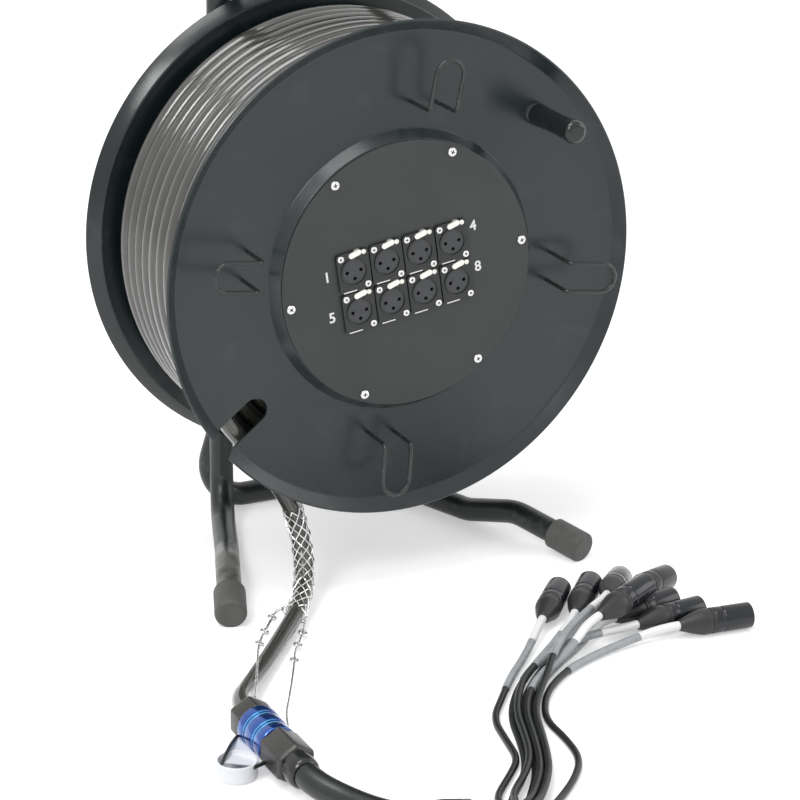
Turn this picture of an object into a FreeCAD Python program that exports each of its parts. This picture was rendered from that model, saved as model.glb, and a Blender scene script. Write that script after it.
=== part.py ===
"""Stage cable drum: a multicore audio cable on a steel drum that carries eight panel sockets.

Millimetres, +Z up, the floor at z = 0. The drum turns on a fixed axle whose line lies along Y, and
its socket panel faces -Y. The free end of the cable leaves the drum under the front flange, runs
through a wire pulling grip to a multipin connector, and fans out into eight tails with plugs.
"""
import FreeCAD, Part
import math
import os
import Sketcher
from FreeCAD import Placement, Rotation, Vector

os.makedirs("parts", exist_ok=True)
doc = FreeCAD.newDocument("cable_drum")

# Driving sizes, in millimetres and degrees.
SIZES = {
    # drum
    "drum_height": 251,
    "rim_radius": 190,
    "plate_wall": 2,
    "winding_half_width": 72,
    "rim_reach": 82.35,
    "barrel_radius": 100,
    "barrel_wall": 2,
    "boss_foot_radius": 108,
    "boss_top_radius": 102,
    "boss_height": 9.1,
    "boss_opening_radius": 88,
    "slot_angle": -141.5,
    "slot_width": 19.5,
    "slot_reach": 141,
    # hub and axle
    "hub_radius": 18,
    "hub_bore": 14,
    "hub_depth": 69,
    "hub_stub": 2,
    "web_wall": 3,
    "web_inset": 3,
    "bush_length": 15,
    "axle_radius": 10,
    "axle_head_radius": 15,
    "axle_head_wall": 5,
    "collar_radius": 17,
    "collar_wall": 8,
    "spacer_radius": 15,
    "running_gap": 0.05,
    "end_gap": 0.3,
    # stand
    "tube_radius": 9.5,
    "tube_wall": 1.5,
    "tube_bend": 35,
    "foot_spread": 149,
    "foot_front": 99.4,
    "hump_spread": 124.8,
    "hump_front": 37.1,
    "hump_height": 21.7,
    "hump_bend": 45,
    "landing_spread": 106,
    "landing_back": 8,
    "upright_spread": 73.5,
    "upright_back": 95,
    "handle_clearance": 32,
    "shoulder_drop": 10,
    "handle_back": 10,
    "brace_back": 114,
    "brace_base_spread": 85.8,
    "brace_top_spread": 24.3,
    "brace_bend": 30,
    "hub_plate_wall": 6,
    "hub_plate_height": 80,
    "foot_cap_radius": 12.2,
    "foot_cap_length": 30,
    "foot_cap_wall": 4,
    "foot_cap_edge": 3,
    "foot_cap_flat": 0.8,
    # socket panel
    "panel_radius": 101.5,
    "panel_wall": 2,
    "panel_turn": 9,
    "socket_left": -42.84,
    "socket_pitch": 27.1,
    "upper_row": 14.99,
    "lower_row": -16.71,
    "screw_circle": 95.8,
    "panel_screw_radius": 1.8,
    "panel_screw_head_radius": 3.5,
    "panel_screw_head": 2,
    "panel_screw_length": 9,
    # sockets
    "socket_width": 26,
    "socket_height": 31,
    "socket_corner": 3,
    "socket_flange": 2,
    "socket_body_radius": 12,
    "socket_body_depth": 25,
    "socket_bore": 9.7,
    "socket_lip": 0.8,
    "socket_lip_radius": 10.6,
    "insert_recess": 1,
    "insert_length": 21,
    "contact_radius": 1.45,
    "contact_circle": 5.6,
    "contact_depth": 12,
    "fit_gap": 0.1,
    "latch_length": 10.5,
    "latch_width": 4.2,
    "latch_wall": 3.4,
    "latch_proud": 0.9,
    "latch_x": 2.2,
    "latch_y": 13.2,
    "latch_tilt": 12,
    "latch_gap": 0.2,
    "nub_radius": 1.6,
    "nub_height": 0.6,
    "nub_x": 9.3,
    "nub_y": 13.2,
    "socket_screw_x": 9.5,
    "socket_screw_y": 12,
    "socket_screw_head_radius": 2.5,
    "socket_screw_radius": 1.4,
    "socket_screw_length": 8,
    # hooks and crank
    "hook_wire_radius": 1.5,
    "hook_half_width": 11,
    "hook_clearance": 19,
    "hook_post": 30,
    "hook_flare": 4,
    "hook_reach": 165,
    "hook_bend": 5,
    "crank_radius": 154,
    "crank_angle": 44.4,
    "crank_reach": 136,
    "pin_radius": 4,
    "pin_collar_radius": 7.5,
    "pin_collar": 4,
    "pin_shank_radius": 5,
    "pin_head_radius": 6,
    "pin_head": 2,
    "grip_radius": 8.75,
    "grip_waist": 7.9,
    "grip_wall": 5,
    # cable on the drum
    "cable_diameter": 13.5,
    "lay_radius": 165.2,
    "lay_pitch": 14.07,
    "lay_turns": 8,
    "lay_start": 64.7,
    "lay_start_angle": 254,
    "core_gap": 0.15,
    "side_gap": 0.3,
    "ring_plane": 62,
    "ring_gap": 0.3,
    "ring_start_angle": -103,
    "ring_sag_angle": 125,
    "ring_end_angle": 215,
    "ring_sag": 4.5,
    # pulling grip
    "mesh_wall": 0.9,
    "ferrule_radius": 3.2,
    "ferrule_length": 5,
    "strand_radius": 1,
    # multipin connector
    "connector_x": -208,
    "connector_y": -256,
    "cable_entry": 12,
    "entry_approach": 2,
    "entry_flare": 2,
    "collar_start_radius": 11,
    "collar_bevel": 5,
    "collar_length": 20,
    "ring_start_radius": 15.2,
    "ring_end_radius": 14.2,
    "ring_length": 34.8,
    "ring_bore": 11.5,
    "groove_depth": 0.7,
    "groove_width": 1.6,
    "body_radius": 15.5,
    "body_length": 30.7,
    "boot_radius": 11.7,
    "boot_lip": 0.6,
    "boot_length": 14,
    "floor_gap": 0.1,
    # dust cap
    "cap_x": -237.9,
    "cap_y": -310.4,
    "cap_radius": 14,
    "cap_height": 12.5,
    "cap_wall": 1.6,
    "strap_radius": 1.3,
    # fan-out
    "trunk_diameter": 18.5,
    "breakout_entry": 10,
    "breakout_start_radius": 11,
    "breakout_radius": 12.5,
    "breakout_length": 32,
    "tail_diameter": 5.2,
    "white_sleeve_radius": 3.3,
    "white_sleeve_length": 34,
    "grey_sleeve_radius": 3.1,
    "grey_sleeve_length": 76,
    "plug_radius": 9.8,
    "plug_boot_length": 27,
    "plug_shell_length": 31,
    "plug_neck_radius": 4.4,
    "plug_bore": 8.3,
    "plug_pocket": 3,
}

sheet = doc.addObject("Spreadsheet::Sheet", "sizes")
sheet.Label = "sizes"


class Size:
    """A size of the sheet, or a sum of such sizes, with the expression that gives it."""

    def __init__(self, value, text):
        self.value = value
        self.text = text

    def joined(self, other, sign, value):
        text = other.text if isinstance(other, Size) else repr(other)
        return Size(value, f"({self.text} {sign} {text})")

    def __add__(self, other):
        return self.joined(other, "+", self.value + number(other))

    def __sub__(self, other):
        return self.joined(other, "-", self.value - number(other))

    def __mul__(self, other):
        return self.joined(other, "*", self.value * number(other))

    def __truediv__(self, other):
        return self.joined(other, "/", self.value / number(other))

    def __neg__(self):
        return Size(-self.value, f"(0 - {self.text})")


def number(size):
    """The plain number behind a size."""
    return size.value if isinstance(size, Size) else size


class Sheet:
    """The named sizes, one attribute each."""


mm = Sheet()
for row, (alias, value) in enumerate(SIZES.items(), start=1):
    sheet.set(f"A{row}", alias)
    sheet.set(f"B{row}", str(value))
    sheet.setAlias(f"B{row}", alias)
    setattr(mm, alias, Size(value, f"sizes.{alias}"))
doc.recompute()

PARTS = []


def bind(thing, prop, size):
    """Bind one property to the sheet."""
    thing.setExpression(prop, size.text)


def keep(thing, name):
    """Name a sub-part and put it on the list of parts to write."""
    thing.Label = name
    PARTS.append(thing)
    return thing


def vector(x, y, z):
    return Vector(number(x), number(y), number(z))


def polar(radius, angle):
    """A place on a circle, as two sizes."""
    turn = math.radians(number(angle))
    text = angle.text if isinstance(angle, Size) else repr(angle)
    across = Size(radius.value * math.cos(turn), f"({radius.text} * cos({text}))")
    along = Size(radius.value * math.sin(turn), f"({radius.text} * sin({text}))")
    return across, along


# Sketches and the features that use them.
ZERO = Size(0, "0")


def plane(body, role):
    return next(f for f in body.Origin.OriginFeatures if f.Role == role)


def sketch(body, role, name, height=None, turn=None):
    """A sketch on one of the body's own planes, raised and turned by sizes of the sheet."""
    made = body.newObject("Sketcher::SketchObject", name)
    made.AttachmentSupport = [(plane(body, role), "")]
    made.MapMode = "FlatFace"
    if height is not None:
        bind(made, "AttachmentOffset.Base.z", height)
    if turn is not None:
        made.AttachmentOffset = Placement(Vector(), Rotation(Vector(0, 0, 1), number(turn)))
    return made


def pin_down(made, item, corner, across, along):
    """Hold one point of a sketch at its sizes from the origin; None leaves one of them free."""
    for kind, axis, size in (("DistanceX", -2, across), ("DistanceY", -1, along)):
        if size is None:
            continue
        if size.value == 0:
            made.addConstraint(Sketcher.Constraint("PointOnObject", item, corner, axis))
        else:
            index = made.addConstraint(Sketcher.Constraint(kind, -1, 1, item, corner, size.value))
            made.setExpression(f"Constraints[{index}]", size.text)


def turns_left(start, end, centre):
    """True for an arc that runs anticlockwise round its centre, a half circle included."""
    return (start - centre).cross(end - centre).z > -1e-6


def arc_between(start, end, centre):
    """The short arc round a centre, or the anticlockwise half circle."""
    radius = (start - centre).Length
    chord = (end - start).normalize()
    outward = Vector(chord.y, -chord.x, 0)
    if not turns_left(start, end, centre):
        outward = outward * -1
    return Part.Arc(start, centre + outward * radius, end)


def draw_outline(made, points, arcs=None):
    """A closed outline through points of the sheet; arcs gives the centre of a curved side."""
    arcs = arcs or {}
    first = made.GeometryCount
    count = len(points)
    corners = [vector(x, y, 0) for x, y in points]
    starts = []
    for side in range(count):
        start, end = corners[side], corners[(side + 1) % count]
        starts.append(1)
        if side in arcs:
            centre = vector(*arcs[side], 0)
            made.addGeometry(arc_between(start, end, centre), False)
            # a sketch arc runs anticlockwise, so one that turns right begins at its far end
            starts[side] = 1 if turns_left(start, end, centre) else 2
        else:
            made.addGeometry(Part.LineSegment(start, end), False)
    for side in range(count):
        after = (side + 1) % count
        joint = (first + side, 3 - starts[side], first + after, starts[after])
        made.addConstraint(Sketcher.Constraint("Coincident", *joint))
    for side, (across, along) in enumerate(points):
        pin_down(made, first + side, starts[side], across, along)
    for side, (across, along) in arcs.items():
        # the ends hold the centre on one line, so one of its two sizes is enough
        chord = corners[(side + 1) % count] - corners[side]
        pin_down(made, first + side, 3, *((across, None) if abs(chord.y) > abs(chord.x) else (None, along)))


def draw_circle(made, across, along, radius):
    item = made.addGeometry(Part.Circle(vector(across, along, 0), Vector(0, 0, 1), radius.value), False)
    pin_down(made, item, 3, across, along)
    index = made.addConstraint(Sketcher.Constraint("Radius", item, radius.value))
    made.setExpression(f"Constraints[{index}]", radius.text)


def turned(name, points, arcs=None):
    """A body of revolution about its own Z axis; points are (radius, height)."""
    body = doc.addObject("PartDesign::Body", name)
    outline = sketch(body, "XZ_Plane", f"{name}_outline")
    draw_outline(outline, points, arcs)
    doc.recompute()
    solid = body.newObject("PartDesign::Revolution", f"{name}_turned")
    solid.Profile = outline
    solid.ReferenceAxis = (outline, ["V_Axis"])
    solid.Angle = 360
    outline.Visibility = False
    return body


def ring(name, inner, outer, bottom, top):
    """A plain tube or disc about its own Z axis."""
    return turned(name, [(inner, bottom), (outer, bottom), (outer, top), (inner, top)])


def pad(body, outline, length):
    solid = body.newObject("PartDesign::Pad", f"{outline.Name}_pad")
    solid.Profile = outline
    bind(solid, "Length", length)
    return solid


def cut_up(body, outline, length):
    """Cut a sketch's shape out of the body, on the side that the sketch's plane faces."""
    doc.recompute()
    before = body.Shape.Volume
    pocket = body.newObject("PartDesign::Pocket", f"{outline.Name}_cut")
    pocket.Profile = outline
    pocket.Reversed = True
    bind(pocket, "Length", length)
    doc.recompute()
    assert body.Shape.Volume < before, f"{outline.Name} cuts nothing"
    return pocket


def shaped(name, shape):
    """A sub-part whose shape comes from Part's own functions."""
    made = doc.addObject("Part::Feature", name)
    made.Shape = shape
    return keep(made, name)


def copies(name, master, places):
    """Identical pieces in one node, one separate solid at each place."""
    doc.recompute()
    solids = []
    for place in places:
        piece = master.Shape.copy()
        piece.Placement = place.multiply(master.Shape.Placement)
        solids.append(piece)
    return shaped(name, Part.makeCompound(solids))


# Paths of runs and tangent arcs, and the tubes that follow them.
RUN_SHARE = 0.45


def rounded(points, radii=None):
    """The edges of a path through points, and the radius of each of its arcs."""
    edges = []
    bends = []
    start = points[0]
    for place in range(1, len(points) - 1):
        before, corner, after = points[place - 1:place + 2]
        ahead = (corner - before).normalize()
        away = (after - corner).normalize()
        half = ahead.getAngle(away) / 2
        shorter = min((corner - before).Length, (after - corner).Length)
        bend = radii[place - 1] if radii else RUN_SHARE * shorter / math.tan(half)
        reach = bend * math.tan(half)
        enter = corner - ahead * reach
        leave = corner + away * reach
        inward = (away - ahead).normalize()
        middle = corner + inward * (bend / math.cos(half) - bend)
        edges.append(Part.LineSegment(start, enter).toShape())
        edges.append(Part.Arc(enter, middle, leave).toShape())
        bends.append(bend)
        start = leave
    edges.append(Part.LineSegment(start, points[-1]).toShape())
    return edges, bends


def pipe(edges, radius):
    """A round bar along a path."""
    path = Part.Wire(edges)
    first = edges[0]
    heading = first.tangentAt(first.FirstParameter)
    section = Part.Wire(Part.makeCircle(radius, first.valueAt(first.FirstParameter), heading))
    solid = path.makePipeShell([section], True, False)
    if solid.Volume < 0:
        solid.reverse()
    expected = math.pi * radius ** 2 * path.Length
    assert abs(solid.Volume / expected - 1) < VOLUME_SHARE, "a pipe's volume is off"
    return solid


VOLUME_SHARE = 0.01


def sleeve(edges, outer, inner):
    """A round tube with a bore along a path."""
    return pipe(edges, outer).cut(pipe(edges, inner))


def report(name, edges, bends):
    length = sum(edge.Length for edge in edges)
    radii = " ".join(f"{bend:.0f}" for bend in bends)
    print(f"{name}: length {length:.0f} mm, arc radii {radii}, least {min(bends):.0f}")


def facing(origin, direction, turn=0):
    """A placement that sends +Z along a direction."""
    spin = Rotation(Vector(0, 0, 1), turn)
    return Placement(origin, Rotation(Vector(0, 0, 1), direction).multiply(spin))


# The drum's own frame: its z axis is the axle line and points to the front, its y axis is up.
drum_y = (mm.crank_reach - mm.brace_back - mm.tube_radius) / 2
DRUM = Placement(vector(0, drum_y, mm.drum_height), Rotation(Vector(1, 0, 0), 90))


def on_drum(turn=0):
    return DRUM.multiply(Placement(Vector(), Rotation(Vector(0, 0, 1), number(turn))))


def place(thing, where):
    thing.Placement = where
    return thing


# Flanges, barrel and hub.
disc_face = mm.winding_half_width + mm.plate_wall
boss_top = disc_face + mm.boss_height
boss_under = boss_top - mm.plate_wall
barrel_inner = mm.barrel_radius - mm.barrel_wall
lip_step = mm.plate_wall * math.sqrt(0.5)
lip_height = mm.rim_reach - lip_step
lip_root = mm.rim_radius - lip_height + mm.winding_half_width
lip_front_root = mm.rim_radius - lip_step - mm.rim_reach + disc_face


def rim_points():
    """The flared rim, from the disc's winding side round to its outer side."""
    return [
        (lip_root, mm.winding_half_width),
        (mm.rim_radius, lip_height),
        (mm.rim_radius - lip_step, mm.rim_reach),
        (lip_front_root, disc_face),
    ]


def front_flange():
    # the boss wall is sheet too, so its inner side follows the outer side one sheet further in
    slope = math.hypot(number(mm.boss_height), number(mm.boss_foot_radius - mm.boss_top_radius))
    wall_across = mm.plate_wall * (slope / number(mm.boss_height))
    lean = (mm.boss_foot_radius - mm.boss_top_radius) / mm.boss_height
    inner_foot = mm.boss_foot_radius - wall_across + lean * mm.plate_wall
    inner_top = mm.boss_top_radius - wall_across + lean * mm.plate_wall
    body = turned("front_flange", [
        (mm.boss_opening_radius, boss_under),
        (inner_top, boss_under),
        (inner_foot, mm.winding_half_width),
        *rim_points(),
        (mm.boss_foot_radius, disc_face),
        (mm.boss_top_radius, boss_top),
        (mm.boss_opening_radius, boss_top),
    ])
    doc.recompute()
    half = mm.slot_width / 2
    overrun = mm.slot_width
    slot = sketch(body, "XY_Plane", "cable_slot", turn=mm.slot_angle)
    draw_outline(slot, [
        (mm.slot_reach + half, half),
        (mm.slot_reach + half, -half),
        (mm.rim_radius + overrun, -half),
        (mm.rim_radius + overrun, half),
    ], {0: (mm.slot_reach + half, ZERO)})
    cut_up(body, slot, mm.rim_reach + overrun)
    holes = sketch(body, "XY_Plane", "boss_screw_holes")
    for step in range(6):
        across, along = polar(mm.screw_circle, mm.panel_turn + 60 * step)
        draw_circle(holes, across, along, mm.panel_screw_radius + mm.fit_gap)
    cut_up(body, holes, mm.rim_reach + overrun)
    crank_hole = sketch(body, "XY_Plane", "crank_hole")
    across, along = polar(mm.crank_radius, mm.crank_angle)
    draw_circle(crank_hole, across, along, mm.pin_shank_radius)
    cut_up(body, crank_hole, mm.rim_reach + overrun)
    return keep(place(body, DRUM), "front_flange")


def rear_flange():
    body = turned("rear_flange", [
        (mm.hub_radius, mm.winding_half_width),
        *rim_points(),
        (mm.hub_radius, disc_face),
    ])
    over = DRUM.multiply(Placement(Vector(), Rotation(Vector(1, 0, 0), 180)))
    return keep(place(body, over), "rear_flange")


def barrel():
    body = ring("barrel", barrel_inner, mm.barrel_radius, -mm.winding_half_width, boss_under)
    return keep(place(body, DRUM), "barrel")


hub_back = -disc_face - mm.hub_stub
hub_front = hub_back + mm.hub_depth + mm.plate_wall


def hub():
    tube = ring("hub_tube", mm.hub_bore, mm.hub_radius, hub_back, hub_front)
    keep(place(tube, DRUM), "hub_tube")
    web_front = hub_front - mm.web_inset
    web = ring("hub_web", mm.hub_radius, barrel_inner, web_front - mm.web_wall, web_front)
    keep(place(web, DRUM), "hub_web")
    bush = ring("hub_bush", mm.axle_radius + mm.running_gap, mm.hub_bore, ZERO, mm.bush_length)
    seats = (hub_back, hub_front - mm.bush_length)
    copies("hub_bushes", bush, [DRUM.multiply(Placement(vector(0, 0, seat), Rotation())) for seat in seats])


def axle():
    plate_front = -mm.upright_back - mm.tube_radius
    plate_back = plate_front - mm.hub_plate_wall
    head = plate_back - mm.axle_head_wall
    collar_face = hub_front + mm.end_gap
    shaft = turned("axle", [
        (ZERO, head),
        (mm.axle_head_radius, head),
        (mm.axle_head_radius, plate_back),
        (mm.axle_radius, plate_back),
        (mm.axle_radius, collar_face + mm.collar_wall),
        (ZERO, collar_face + mm.collar_wall),
    ])
    keep(place(shaft, DRUM), "axle")
    collar = ring("axle_collar", mm.axle_radius, mm.collar_radius, collar_face, collar_face + mm.collar_wall)
    keep(place(collar, DRUM), "axle_collar")
    spacer = ring("axle_spacer", mm.axle_radius, mm.spacer_radius, plate_front, hub_back - mm.end_gap)
    keep(place(spacer, DRUM), "axle_spacer")


# Stand.
def mirrored(points):
    """A left and right half joined into one path."""
    return [Vector(-p.x, p.y, p.z) for p in points] + list(reversed(points))


def foot_points():
    foot = vector(mm.foot_spread, drum_y - mm.foot_front, mm.foot_cap_radius - mm.foot_cap_flat)
    hump = vector(mm.hump_spread, drum_y - mm.hump_front, mm.hump_height)
    return foot, hump


def frame_tube():
    foot, hump = foot_points()
    handle_height = mm.drum_height + mm.rim_radius + mm.handle_clearance
    half = [
        foot,
        hump,
        vector(mm.landing_spread, drum_y + mm.landing_back, mm.tube_radius),
        vector(mm.upright_spread, drum_y + mm.upright_back, mm.tube_radius),
        vector(mm.upright_spread, drum_y + mm.upright_back, handle_height - mm.shoulder_drop),
        vector(mm.upright_spread, drum_y + mm.handle_back, handle_height),
    ]
    bend = number(mm.tube_bend)
    hump_bend = number(mm.hump_bend)
    radii = [hump_bend, hump_bend, bend, bend, bend]
    edges, _ = rounded(mirrored(half), radii + radii[::-1])
    return shaped("frame_tube", sleeve(edges, number(mm.tube_radius), number(mm.tube_radius - mm.tube_wall)))


def rear_brace():
    plate_foot = mm.drum_height - mm.hub_plate_height / 2
    half = [
        vector(mm.brace_top_spread, mm.brace_back + drum_y, plate_foot),
        vector(mm.brace_base_spread, mm.brace_back + drum_y, mm.tube_radius),
    ]
    bend = number(mm.brace_bend)
    edges, _ = rounded(mirrored(half), [bend, bend])
    tube = sleeve(edges, number(mm.tube_radius), number(mm.tube_radius - mm.tube_wall))
    # the slanted ends are cut level, where they butt against the plate's underside
    over = number(mm.hub_plate_height)
    block = Part.makeBox(2 * over, over, over, vector(-over, mm.brace_back + drum_y - over / 2, plate_foot))
    return shaped("rear_brace", tube.cut(block))


def hub_plate():
    body = doc.addObject("PartDesign::Body", "hub_plate")
    outline = sketch(body, "XZ_Plane", "hub_plate_outline")
    half = mm.upright_spread + mm.tube_radius
    top = mm.hub_plate_height / 2
    draw_outline(outline, [(-half, -top), (half, -top), (half, top), (-half, top)])
    draw_circle(outline, ZERO, ZERO, mm.axle_radius)
    pad(body, outline, mm.hub_plate_wall)
    back = drum_y + mm.upright_back + mm.tube_radius + mm.hub_plate_wall
    return keep(place(body, Placement(vector(0, back, mm.drum_height), Rotation())), "hub_plate")


def foot_caps():
    foot, hump = foot_points()
    inner = mm.foot_cap_length - mm.foot_cap_wall
    reach = number(mm.foot_cap_length)
    for name, side in (("left_foot_cap", -1), ("right_foot_cap", 1)):
        blank = turned(name + "_blank", [
            (ZERO, -mm.foot_cap_wall),
            (mm.foot_cap_radius - mm.foot_cap_edge, -mm.foot_cap_wall),
            (mm.foot_cap_radius, mm.foot_cap_edge - mm.foot_cap_wall),
            (mm.foot_cap_radius, inner),
            (mm.tube_radius, inner),
            (mm.tube_radius, ZERO),
            (ZERO, ZERO),
        ], {1: (mm.foot_cap_radius - mm.foot_cap_edge, mm.foot_cap_edge - mm.foot_cap_wall)})
        ahead = Vector(side * (hump.x - foot.x), hump.y - foot.y, hump.z - foot.z)
        place(blank, facing(Vector(side * foot.x, foot.y, foot.z), ahead))
        doc.recompute()
        # the rubber is moulded with a small flat, on which the foot stands
        corner = Vector(side * foot.x - reach, foot.y - reach, -reach)
        under = Part.makeBox(2 * reach, 2 * reach, reach, corner)
        shaped(name, blank.Shape.cut(under))


# Socket panel.
SOCKETS = [(column, row) for row in (0, 1) for column in range(4)]
PANEL_FRONT = boss_top + mm.panel_wall


def socket_centre(column, row):
    across = mm.socket_left + mm.socket_pitch * column
    along = mm.lower_row if row else mm.upper_row
    return across, along


def socket_place(column, row, height=PANEL_FRONT):
    across, along = socket_centre(column, row)
    return on_drum(mm.panel_turn).multiply(Placement(vector(across, along, height), Rotation()))


def oval(length, width, grow, centre, tilt):
    """The four corners of a round-ended key, tilted about its centre, and the centres of its ends."""
    half = width / 2 + grow
    straight = length / 2 - width / 2
    corners = [(-straight, -half), (straight, -half), (straight, half), (-straight, half)]
    turn = tilt.text
    cosine, sine = math.cos(math.radians(tilt.value)), math.sin(math.radians(tilt.value))

    def tilted(x, y):
        across = Size(x.value * cosine - y.value * sine, f"({x.text} * cos({turn}) - {y.text} * sin({turn}))")
        along = Size(x.value * sine + y.value * cosine, f"({x.text} * sin({turn}) + {y.text} * cos({turn}))")
        return centre[0] + across, centre[1] + along

    return [tilted(*corner) for corner in corners], tilted(straight, ZERO), tilted(-straight, ZERO)


def latch_outline(made, grow, column=None, row=None):
    """The push tab's outline, or the window that it slides in."""
    centre = (mm.latch_x, mm.latch_y)
    if column is not None:
        across, along = socket_centre(column, row)
        centre = (across + mm.latch_x, along + mm.latch_y)
    corners, right, left = oval(mm.latch_length, mm.latch_width, grow, centre, mm.latch_tilt)
    draw_outline(made, corners, {1: right, 3: left})


def panel():
    body = doc.addObject("PartDesign::Body", "panel")
    outline = sketch(body, "XY_Plane", "panel_disc", height=boss_top)
    draw_circle(outline, ZERO, ZERO, mm.panel_radius)
    for column, row in SOCKETS:
        across, along = socket_centre(column, row)
        draw_circle(outline, across, along, mm.socket_body_radius + mm.fit_gap)
    for step in range(6):
        across, along = polar(mm.screw_circle, 60 * step)
        draw_circle(outline, across, along, mm.panel_screw_radius + mm.fit_gap)
    pad(body, outline, mm.panel_wall)
    windows = sketch(body, "XY_Plane", "latch_windows", height=boss_under)
    for column, row in SOCKETS:
        latch_outline(windows, mm.latch_gap, column, row)
    cut_up(body, windows, mm.panel_wall * 3)
    holes = sketch(body, "XY_Plane", "socket_screw_holes", height=boss_under)
    for column, row in SOCKETS:
        across, along = socket_centre(column, row)
        for side in (-1, 1):
            x = across + mm.socket_screw_x * side
            y = along - mm.socket_screw_y * side
            draw_circle(holes, x, y, mm.socket_screw_radius)
    cut_up(body, holes, mm.panel_wall * 3)
    return keep(place(body, on_drum(mm.panel_turn)), "panel")


def pan_screw(name, shank, head, head_height, length):
    """A pan-head screw whose seat is at z = 0 and whose shank points down."""
    return turned(name, [
        (ZERO, -length),
        (shank, -length),
        (shank, ZERO),
        (head, ZERO),
        (head, head_height / 2),
        (head - head_height / 2, head_height),
        (ZERO, head_height),
    ], {4: (head - head_height / 2, head_height / 2)})


def panel_screws():
    master = pan_screw("panel_screw", mm.panel_screw_radius, mm.panel_screw_head_radius,
                       mm.panel_screw_head, mm.panel_screw_length)
    places = []
    for step in range(6):
        across, along = polar(mm.screw_circle, mm.panel_turn + 60 * step)
        places.append(DRUM.multiply(Placement(vector(across, along, PANEL_FRONT), Rotation())))
    return copies("panel_screws", master, places)


def socket_shells():
    """The moulded D-shaped housings, with a flange in front of the panel and a barrel behind it."""
    body = doc.addObject("PartDesign::Body", "socket_shell")
    outline = sketch(body, "XY_Plane", "socket_flange")
    x, y, corner = mm.socket_width / 2, mm.socket_height / 2, mm.socket_corner
    draw_outline(outline, [
        (corner - x, -y), (x - corner, -y), (x, corner - y), (x, y - corner),
        (x - corner, y), (corner - x, y), (-x, y - corner), (-x, corner - y),
    ], {
        1: (x - corner, corner - y),
        3: (x - corner, y - corner),
        5: (corner - x, y - corner),
        7: (corner - x, corner - y),
    })
    pad(body, outline, mm.socket_flange)
    lip = sketch(body, "XY_Plane", "socket_lip", height=mm.socket_flange)
    draw_circle(lip, ZERO, ZERO, mm.socket_lip_radius)
    pad(body, lip, mm.socket_lip)
    nub = sketch(body, "XY_Plane", "socket_nub", height=mm.socket_flange)
    draw_circle(nub, mm.nub_x, mm.nub_y, mm.nub_radius)
    pad(body, nub, mm.nub_height)
    rear = sketch(body, "XY_Plane", "socket_barrel", height=-mm.socket_body_depth)
    draw_circle(rear, ZERO, ZERO, mm.socket_body_radius)
    pad(body, rear, mm.socket_body_depth)
    bore = sketch(body, "XY_Plane", "socket_bore", height=-mm.socket_body_depth)
    draw_circle(bore, ZERO, ZERO, mm.socket_bore)
    through = mm.socket_body_depth + mm.socket_flange + mm.socket_lip
    cut_up(body, bore, through)
    window = sketch(body, "XY_Plane", "socket_window", height=-mm.panel_wall * 2)
    latch_outline(window, mm.latch_gap)
    cut_up(body, window, mm.panel_wall * 2 + mm.socket_flange + mm.socket_lip)
    screws = sketch(body, "XY_Plane", "socket_screw_seats", height=-mm.panel_wall)
    for side in (-1, 1):
        draw_circle(screws, mm.socket_screw_x * side, -mm.socket_screw_y * side, mm.socket_screw_radius)
    cut_up(body, screws, mm.panel_wall + mm.socket_flange)
    return copies("socket_shells", body, [socket_place(*spot) for spot in SOCKETS])


def socket_inserts():
    body = doc.addObject("PartDesign::Body", "socket_insert")
    front = mm.socket_flange + mm.socket_lip - mm.insert_recess
    disc = sketch(body, "XY_Plane", "insert_disc", height=front - mm.insert_length)
    draw_circle(disc, ZERO, ZERO, mm.socket_bore - mm.fit_gap)
    pad(body, disc, mm.insert_length)
    contacts = sketch(body, "XY_Plane", "insert_contacts", height=front - mm.contact_depth)
    for angle in (0, 180, 270):
        across, along = polar(mm.contact_circle, angle)
        draw_circle(contacts, across, along, mm.contact_radius)
    cut_up(body, contacts, mm.contact_depth)
    return copies("socket_inserts", body, [socket_place(*spot) for spot in SOCKETS])


def socket_screws():
    master = pan_screw("socket_screw", mm.socket_screw_radius, mm.socket_screw_head_radius,
                       mm.panel_screw_head / 2, mm.socket_screw_length)
    places = []
    for spot in SOCKETS:
        for side in (-1, 1):
            seat = vector(mm.socket_screw_x * side, -mm.socket_screw_y * side, mm.socket_flange)
            places.append(socket_place(*spot).multiply(Placement(seat, Rotation())))
    return copies("socket_screws", master, places)


def latches():
    """The push tabs, each a solid of its own, because each one is pressed by itself."""
    for index, spot in enumerate(SOCKETS, start=1):
        name = f"latch_{index}"
        body = doc.addObject("PartDesign::Body", name)
        height = mm.socket_flange + mm.latch_proud - mm.latch_wall
        outline = sketch(body, "XY_Plane", f"{name}_outline", height=height)
        latch_outline(outline, ZERO)
        pad(body, outline, mm.latch_wall)
        keep(place(body, socket_place(*spot)), name)


# Cable hooks and crank.
def hooks():
    foot = number(mm.boss_foot_radius + mm.hook_clearance)
    post = number(disc_face + mm.hook_post)
    half, reach = number(mm.hook_half_width), number(mm.hook_reach)
    tip = post + number(mm.hook_flare)
    shoulder = reach - half
    bend = number(mm.hook_bend)
    rise = post + (tip - post) * (shoulder - foot) / (reach - foot)
    points = [
        Vector(-half, foot, number(disc_face)),
        Vector(-half, foot, post),
        Vector(-half, shoulder + half, tip),
        Vector(half, shoulder + half, tip),
        Vector(half, foot, post),
        Vector(half, foot, number(disc_face)),
    ]
    edges, _ = rounded(points, [bend, half - RUN_GAP, half - RUN_GAP, bend])
    wire = pipe(edges, number(mm.hook_wire_radius))
    for name, angle in HOOK_ANGLES.items():
        made = shaped(name, wire.copy())
        place(made, on_drum(angle - 90))


HOOK_ANGLES = {"hook_top": 82.5, "hook_left": 171.5, "hook_right": -6.1, "hook_bottom": -96.6}
RUN_GAP = 0.01


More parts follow.
